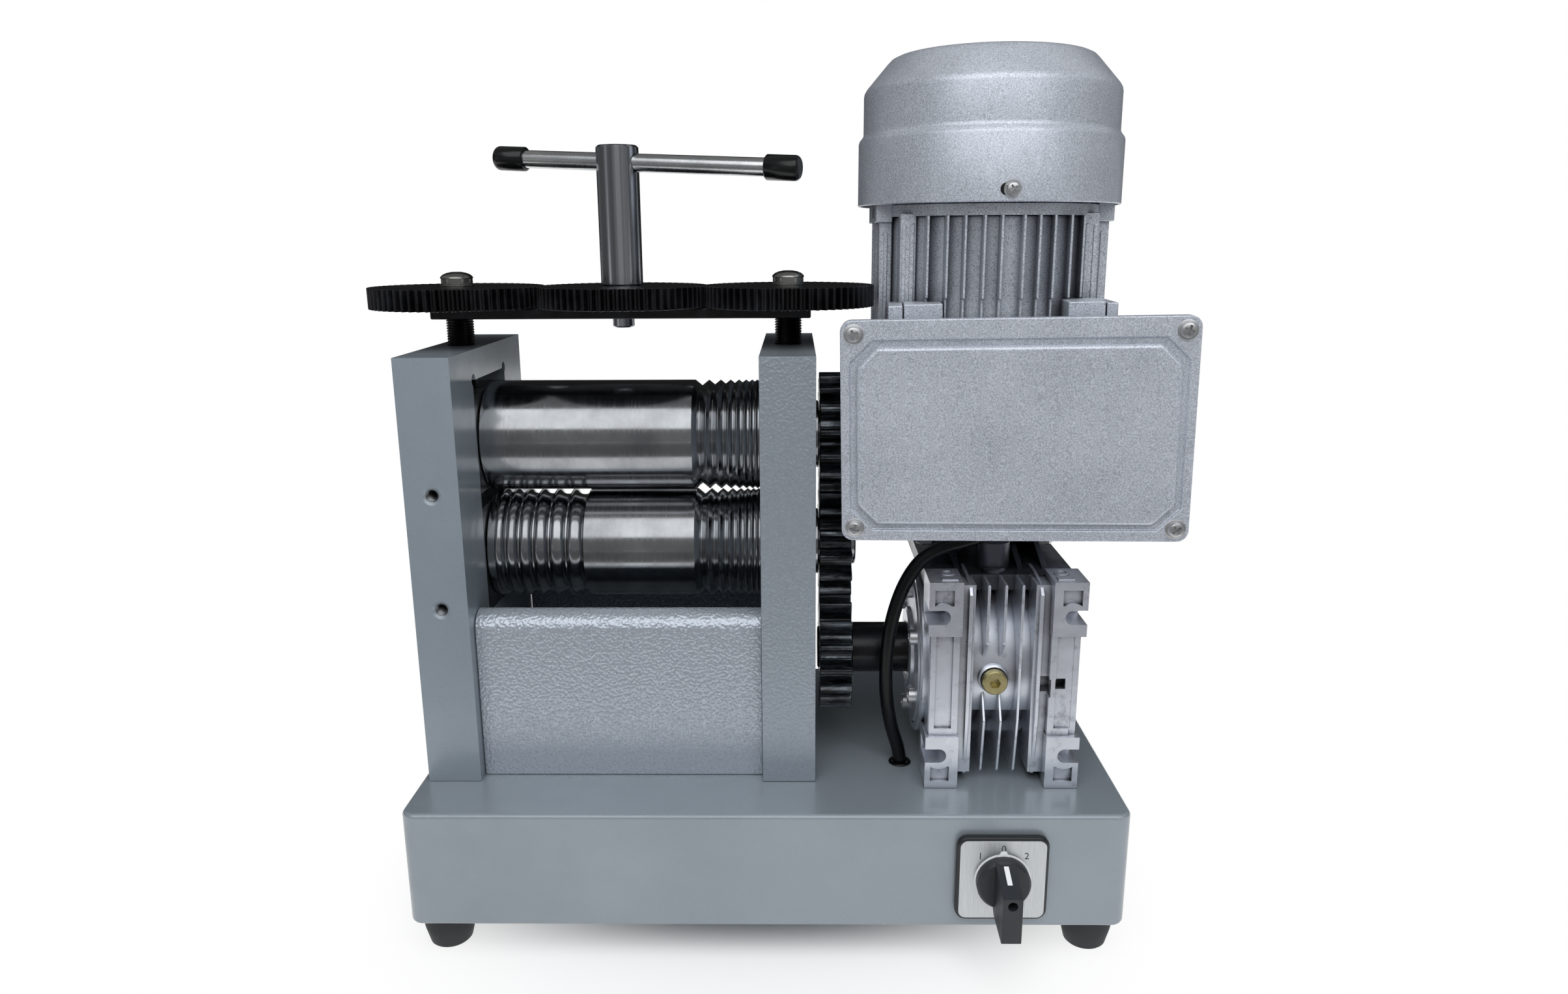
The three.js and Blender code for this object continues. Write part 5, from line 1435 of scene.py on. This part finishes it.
# Cross-head screws
def screw_head(radius, height, washer_radius, washer):
    """Pan head on a washer about Z, with a cross recess; its seat is at zero."""
    shares = ((0, 0), (1, 0), (1, 0.45), (0.9, 0.78), (0.62, 0.95), (0, 1))
    profile = [(radius * across, height * up) for across, up in shares]
    head = turned(raised(washer, profile), "Z", (0, 0), 40)
    arm = radius * 0.66
    slot = radius * 0.15
    heights = (washer + height * 0.05, washer + height + 0.5)
    head = cut(head, slab(-arm, arm, -slot, slot, *heights), slab(-slot, slot, -arm, arm, *heights))
    edge = washer_radius - 0.3
    profile = [(0, 0), (washer_radius, 0), (washer_radius, washer * 0.7), (edge, washer), (0, washer)]
    return gather(head, turned(profile, "Z", (0, 0), 40))


def make_hood_screws():
    """Flanged hexagon screws with a cross recess, each beside its keyhole, a flat near-black sheet of
    painted shade.
    """
    parts = []
    holes = []
    for angle in (-math.pi / 2, math.radians(30), math.radians(150)):
        head = screw_head(3.4, 2.4, 4.7, 0.9)
        spin(head, 0.5, "Z")
        hexagon = turned([(0, 0.9), (3.9, 0.9), (3.9, 2.2), (3.5, 2.6), (0, 2.6)], "Z", (0, 0), 6)
        head = gather(head, cut(hexagon, rod(3.2, "Z", (0, 0), 1.2, 4)))
        # The keyhole is no opening: a flat dark sheet on the hood, painted shade for the hole's inside.
        hole = prism(rounded(6.4, 6.4, 3.1, 8, (0, -3.2)), -0.4, 0.12)
        for part, store in ((head, parts), (hole, holes)):
            spin(part, math.pi / 2, "Y")
            shifted(part, hood_radius - 0.15, 0, hood_low + 6.5)
            spin(part, angle, "Z")
            store.append(shifted(part, gearbox_x, motor_y, 0))
    settle(gather(*parts), "hood_screws", "stand", screw_zinc, "ground_steel", angle=35)
    settle(gather(*holes), "hood_keyholes", "stand", hole_shadow, "motor_paint")


# Terminal box
def place_on_lid(part):
    turn = Matrix.Rotation(lid_turn, 4, "Z") @ Matrix.Rotation(lid_tilt, 4, "Y")
    return moved(part, Matrix.Translation((lid_x, lid_y, lid_z)) @ turn)


def make_terminal_box():
    width, height = lid_width - 2 * box_inset, lid_height - 2 * box_inset
    front = lid_thickness + seat_gap
    body = prism(rounded(width, height, 5, 6), front, front + box_depth, "Y")
    outline = rounded(width - 2 * box_wall, height - 2 * box_wall, box_wall, 6)
    room = prism(outline, front - past, front + box_depth - box_wall, "Y")
    settle(place_on_lid(cut(body, room)), "box_body", "stand", motor_paint, "motor_paint", "terminal_box",
           bevel=1.2, segments=3)


def make_lid():
    """Lid with a groove inside its rim, a raised panel with clipped corners, and four screws."""
    look = (motor_paint, "motor_paint")
    plate = prism(rounded(lid_width, lid_height, lid_corner, 12), 0, lid_thickness, "Y")
    width = lid_width - 2 * groove_side
    height = lid_height - groove_top - groove_foot
    centre = (0, (groove_foot - groove_top) / 2)
    channel = prism(rounded(width, height, panel_clip, 1, centre), -past, groove_depth, "Y")
    lid = place_on_lid(cut(plate, channel))
    settle(lid, "lid_plate", "stand", *look, "terminal_lid", bevel=1.3, segments=4)
    outline = rounded(width - 2 * groove_width, height - 2 * groove_width, panel_clip - 1, 1, centre)
    panel = place_on_lid(prism(outline, -panel_rise, 2, "Y"))
    settle(panel, "lid_panel", "stand", *look, bevel=2.4, segments=6, angle=20)
    heads = []
    for sign_x in (-1, 1):
        for sign_z in (-1, 1):
            head = screw_head(4.0, 2.6, 5.1, 0.5)
            spin(head, 0.5 + 0.4 * sign_x + 0.3 * sign_z, "Z")
            spin(head, math.pi / 2, "X")
            x = sign_x * (lid_width / 2 - lid_screw_inset)
            z = sign_z * (lid_height / 2 - lid_screw_inset)
            heads.append(shifted(head, x, 0, z))
    settle(place_on_lid(gather(*heads)), "lid_screws", "stand", screw_zinc, "ground_steel", angle=35)


# Cable
def make_cable():
    heights = [
        (126, 53, 160), (126, 53, 149), (124, 53, 144.5), (118.5, 53, 140.8), (109, 52.5, 138),
        (98, 52.5, 134.5), (86.5, 53, 126.5), (77.5, 54, 111), (71.5, 55, 90), (69.2, 56, 68),
        (69.5, 57.5, 46), (72.5, 59.5, 26), (77, 60.7, 10), (*cable_foot, 0), (*cable_foot, -19),
    ]
    route = smooth_route([(x, y, deck + z) for x, y, z in heights])
    jacket = tube(route, cable_radius, 24)
    settle(jacket, "cable_jacket", "stand", cable_vinyl, "black_plastic", "motor_cable")


def make_grommet():
    low = deck + seat_gap
    ring = turned([
        (4.4, deck - 4), (6, deck - 4), (6, low), (6.4, low), (6.6, low + 0.4), (6.2, low + 0.9),
        (5.4, low + 1.1), (4.8, low + 1.1), (4.4, low + 0.8),
    ], "Z", cable_foot, 40, closed=True)
    settle(ring, "grommet_ring", "stand", grip_vinyl, "rubber", "cable_grommet", angle=60)


# Switch
def make_switch():
    centre = (switch_x, switch_z)
    face = -bezel_depth - plate_thickness
    bezel = prism(rounded(bezel_width, bezel_width, bezel_corner, 8, centre), -bezel_depth, -seat_gap, "Y")
    settle(bezel, "bezel_frame", "stand", black_plastic, "black_plastic", "switch_body",
           bevel=1.6, segments=3)
    plate = prism(rounded(plate_width, plate_width, 4, 8, centre), face, -bezel_depth + 1, "Y")
    settle(plate, "switch_plate", "stand", plate_metal, "cast_aluminium", bevel=0.3)
    near, far = knob_radius - 1, knob_radius + 0.9
    ring = turned([(near, -5.2), (far, -5.2), (far, -5.75), (near, -5.75)], "Y", centre, 64, closed=True)
    settle(ring, "knob_ring", "stand", white_ink, "cast_aluminium")
    for name, text, dx, dz in (("one", "1", -12.5, 14.3), ("zero", "0", 0, 18.6), ("two", "2", 12.5, 14.3)):
        make_number("number_" + name, text, switch_x + dx, switch_z + dz)


def make_number(name, text, x, z):
    data = bpy.data.curves.new(name, "FONT")
    data.body = text
    data.size = 5.5
    data.extrude = 0.06
    data.align_x = "CENTER"
    data.align_y = "CENTER"
    made = bpy.data.objects.new(name, data)
    bpy.context.scene.collection.objects.link(made)
    graph = bpy.context.evaluated_depsgraph_get()
    mesh = bpy.data.meshes.new_from_object(made.evaluated_get(graph))
    bpy.data.objects.remove(made)
    number = bpy.data.objects.new(name, mesh)
    bpy.context.scene.collection.objects.link(number)
    spin(number, math.pi / 2, "X")
    shifted(number, x, -bezel_depth - plate_thickness - 0.02, z)
    settle(number, name, "stand", dark_ink, "black_plastic")


def make_knob():
    """Dial with a lever across it, a white mark on the lever's slope and a pointer at the top."""
    back = -bezel_depth - plate_thickness - 0.3
    face = back - knob_depth
    disc = turned([
        (0, back), (knob_radius, back), (knob_radius, face + 1.4), (knob_radius - 1.2, face), (0, face),
    ], "Y", (switch_x, switch_z), 72)
    tip = -34
    slope_top = (-10.4, 13.6)
    slope_foot = (tip, 7)
    outline = [
        (back, 13), (back, -13), (back - 6, -17.5), (tip + 0.4, -19), (tip, -18.4), slope_foot, slope_top,
    ]
    half = lever_width / 2
    lever = prism([(y, switch_z + z) for y, z in outline], switch_x - half, switch_x + half, "X")
    lever = cut(lever, rod(2.5, "Y", (switch_x, switch_z + 3), tip - 2, tip + 8, 24))
    settle(disc, "knob_disc", "knob", knob_plastic, "black_plastic", "switch_knob", angle=35)
    settle(lever, "knob_lever", "knob", knob_plastic, "black_plastic", bevel=0.8, segments=3)
    slope = math.atan2(slope_top[1] - slope_foot[1], slope_top[0] - slope_foot[0])
    mark = slab(-1.3, 1.3, -6.2, 6.2, -0.1, 0.12)
    moved(mark, Matrix.Rotation(slope, 4, "X"))
    y, z = (top + (foot - top) * mark_share for top, foot in zip(slope_top, slope_foot))
    shifted(mark, switch_x, y, switch_z + z)
    settle(mark, "knob_mark", "knob", white_ink, "black_plastic")
    pointer = prism([(-3.4, 13.6), (-1.4, 17.2), (0, 17.8), (1.4, 17.2), (3.4, 13.6)], -0.3, 0.0, "Y")
    shifted(pointer, switch_x, back, switch_z)
    settle(pointer, "knob_pointer", "knob", white_ink, "black_plastic")


def make_gland():
    out = base_depth + seat_gap
    nut = turned([
        (0, 194), (7.5, 194), (7.5, out), (11, out), (11, out + 6), (gland_nut_radius, out + 6),
        (gland_nut_radius, out + 13.5), (7.6, out + 16.6), (5.4, out + 18), (3.8, out + 18),
        (3.8, out - 4), (0, out - 4),
    ], "Y", (gland_x, gland_z), 48)
    centres = circle((gland_x, gland_z), gland_nut_radius, 16, 0)
    ribs = [rod(0.8, "Y", centre, out + 6, out + 13, 10) for centre in centres]
    settle(gather(nut, *ribs), "gland_nut", "stand", black_plastic, "black_plastic", "mains_gland", angle=35)


# CAD nodes that stay, with better materials
def dress_nodes():
    looks = {
        "base_cover": base_paint, "worm_wheel": bronze, "worm": ground_steel, "stator_core": copper,
        "rotor": ground_steel, "cooling_fan": black_plastic,
    }
    for node, material in looks.items():
        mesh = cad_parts[node].data
        mesh.materials.clear()
        mesh.materials.append(material)


def make_all():
    make_base()
    foot_x = base_width / 2 - foot_inset[0]
    for end, y in (("front", foot_inset[1]), ("rear", base_depth - foot_inset[1])):
        for side, x in (("left", -foot_x), ("right", foot_x)):
            make_foot("foot_" + end + "_" + side, x, y)
    make_frame("left_frame", left_x, guide_hole_heights, frame_paint)
    make_frame("right_frame", right_x, (), right_frame_paint)
    for i, z in enumerate(guide_hole_heights):
        make_hole_threads("guide_hole_thread_" + str(i + 1), left_x, z)
    for side, x in (("left", left_x), ("right", right_x)):
        low = window_floor + seat_gap
        make_block("lower_" + side + "_block", x, lower_z, low, lower_z + block_reach, "stand", 1)
        ends = (upper_z - block_reach, upper_z + block_reach)
        make_block("upper_" + side + "_block", x, upper_z, *ends, "carriage", -1)
        make_bush("lower_" + side + "_bush", x, lower_z, "stand")
        make_bush("upper_" + side + "_bush", x, upper_z, "carriage")
        for end, y in (("front", axis_y - spring_offset), ("rear", axis_y + spring_offset)):
            make_spring(side + "_" + end + "_spring", x, y)
        make_screw(side, x, side + "_screw")
    make_roll("lower_roll", lower_z, "lower_roll_set", True)
    make_roll("upper_roll", upper_z, "upper_roll_set", False)
    make_drive_gears()
    half_tooth = math.pi / adjust_teeth
    make_adjust_gear("left_adjusting_gear", left_x, screw_neck_radius + slip, half_tooth, "left_screw")
    make_adjust_gear("right_adjusting_gear", right_x, screw_neck_radius + slip, half_tooth, "right_screw")
    make_adjust_gear("centre_adjusting_gear", handle_x, post_neck_radius + slip, 0, "handle")
    make_strap()
    make_post()
    make_bar()
    make_grip("left_grip", -bar_left, -1)
    make_grip("right_grip", bar_right, 1)
    make_skirt("front_skirt", False)
    make_skirt("rear_skirt", True)
    make_gearbox()
    make_gearbox_bolts()
    make_output_cover()
    make_plug()
    make_output_shaft()
    make_end_shield()
    make_motor()
    make_motor_corners()
    make_pads()
    make_hood()
    make_hood_screws()
    make_terminal_box()
    make_lid()
    make_cable()
    make_grommet()
    make_switch()
    make_knob()
    make_gland()
    dress_nodes()


make_all()


# Stage in metres
world_level = 0.3
floor_size = 24

# Name, place, width, height, power, and whether the lamp shows in reflections
lamps = (
    ("key", (0.05, -1.39, 1.58), 3.0, 1.5, 18, True),
    ("soft_key", (0.1, -1.39, 1.58), 1.6, 1.2, 12, False),
    ("fill", (1.8, -0.9, 0.7), 1.2, 1.2, 1.5, False),
    ("top", (0.05, -0.5, 2.1), 1.4, 1.0, 12, False),
)

# Name, place, aim, width, height and level
cards = (
    ("front_card", (0, -2.2, 0.55), (0, 0, 0.45), 6, 1.3, 0.22),
    ("ceiling_card", (0, 0.2, 2.3), (0, 0, 0), 5, 2.6, 0.2),
    ("back_card", (0, 2.4, 1.2), (0, 0, 0.5), 6, 3, 0.02),
    ("left_card", (-2.4, 0.2, 0.8), (0, 0, 0.6), 3, 1.6, 0.12),
    ("right_card", (2.6, 0.2, 0.8), (0, 0, 0.5), 3, 1.8, 0.08),
    ("floor_card", (0, -1.2, 0.004), (0, -1.2, 1), 6, 1.7, 0.16),
)


# Stage
def light_rays(tree, names):
    """One for rays of the named kinds."""
    path = tree.nodes.new("ShaderNodeLightPath")
    total = path.outputs[names[0]]
    for name in names[1:]:
        most = tree.nodes.new("ShaderNodeMath")
        most.operation = "MAXIMUM"
        tree.links.new(total, most.inputs[0])
        tree.links.new(path.outputs[name], most.inputs[1])
        total = most.outputs[0]
    return total


def make_world():
    """White behind the object, and a dim room round it."""
    world = bpy.data.worlds.new("studio")
    bpy.context.scene.world = world
    world.use_nodes = True
    tree = world.node_tree
    tree.nodes.clear()
    seen = tree.nodes.new("ShaderNodeBackground")
    seen.inputs["Color"].default_value = (1, 1, 1, 1)
    lit = tree.nodes.new("ShaderNodeBackground")
    lit.inputs["Color"].default_value = (0.9, 0.95, 1.0, 1)
    lit.inputs["Strength"].default_value = world_level
    mix = tree.nodes.new("ShaderNodeMixShader")
    tree.links.new(light_rays(tree, ("Is Camera Ray", "Is Transmission Ray")), mix.inputs["Fac"])
    tree.links.new(lit.outputs[0], mix.inputs[1])
    tree.links.new(seen.outputs[0], mix.inputs[2])
    out = tree.nodes.new("ShaderNodeOutputWorld")
    tree.links.new(mix.outputs[0], out.inputs["Surface"])


def rectangle(name, width, height):
    """Flat rectangle about its middle, in metres."""
    mesh = bpy.data.meshes.new(name)
    w, h = width / 2, height / 2
    mesh.from_pydata([(-w, -h, 0), (w, -h, 0), (w, h, 0), (-w, h, 0)], [], [(0, 1, 2, 3)])
    made = bpy.data.objects.new(name, mesh)
    bpy.context.scene.collection.objects.link(made)
    return made


def make_floor():
    floor = rectangle("floor", floor_size, floor_size)
    material = bpy.data.materials.new("floor")
    material.use_nodes = True
    tree = material.node_tree
    shader = tree.nodes["Principled BSDF"]
    shader.inputs["Base Color"].default_value = (0.93, 0.93, 0.93, 1)
    shader.inputs["Roughness"].default_value = 0.9
    shader.inputs["Specular IOR Level"].default_value = 0.1
    place = tree.nodes.new("ShaderNodeTexCoord")
    length = tree.nodes.new("ShaderNodeVectorMath")
    length.operation = "LENGTH"
    tree.links.new(place.outputs["Object"], length.inputs[0])
    fade = tree.nodes.new("ShaderNodeMapRange")
    fade.inputs["From Min"].default_value = 0.05
    fade.inputs["From Max"].default_value = 0.26
    fade.interpolation_type = "SMOOTHSTEP"
    tree.links.new(length.outputs["Value"], fade.inputs["Value"])
    factor = tree.nodes.new("ShaderNodeMath")
    factor.operation = "MULTIPLY"
    tree.links.new(fade.outputs["Result"], factor.inputs[0])
    seen = light_rays(tree, ("Is Camera Ray", "Is Glossy Ray", "Is Transmission Ray"))
    tree.links.new(seen, factor.inputs[1])
    white = tree.nodes.new("ShaderNodeEmission")
    mix = tree.nodes.new("ShaderNodeMixShader")
    tree.links.new(factor.outputs[0], mix.inputs["Fac"])
    tree.links.new(shader.outputs[0], mix.inputs[1])
    tree.links.new(white.outputs[0], mix.inputs[2])
    tree.links.new(mix.outputs[0], tree.nodes["Material Output"].inputs["Surface"])
    floor.data.materials.append(material)


def make_lamp(name, place, aim, width, height, power, mirrored_too):
    """Area lamp that may stay out of reflections."""
    data = bpy.data.lights.new(name, "AREA")
    data.shape = "RECTANGLE"
    data.size = width
    data.size_y = height
    data.energy = power
    lamp = bpy.data.objects.new(name, data)
    lamp.location = place
    lamp.rotation_euler = (Vector(aim) - Vector(place)).to_track_quat("-Z", "Y").to_euler()
    lamp.visible_glossy = mirrored_too
    bpy.context.scene.collection.objects.link(lamp)


def make_card(name, place, aim, width, height, level):
    """Grey card that only shows in reflections."""
    card = rectangle(name, width, height)
    card.location = place
    card.rotation_euler = (Vector(aim) - Vector(place)).to_track_quat("-Z", "Y").to_euler()
    material = bpy.data.materials.new(name)
    material.use_nodes = True
    tree = material.node_tree
    tree.nodes.clear()
    glow = tree.nodes.new("ShaderNodeEmission")
    glow.inputs["Color"].default_value = (level, level, level, 1)
    out = tree.nodes.new("ShaderNodeOutputMaterial")
    tree.links.new(glow.outputs[0], out.inputs["Surface"])
    card.data.materials.append(material)
    card.visible_camera = False
    card.visible_diffuse = False
    card.visible_shadow = False
    card.visible_transmission = False


def make_stage():
    make_world()
    make_floor()
    centre = (0, 0, 0.22)
    for name, place, width, height, power, mirrored_too in lamps:
        make_lamp(name, place, centre, width, height, power, mirrored_too)
    for name, place, aim, width, height, level in cards:
        make_card(name, place, aim, width, height, level)


make_stage()
bpy.context.scene.view_settings.view_transform = "Standard"
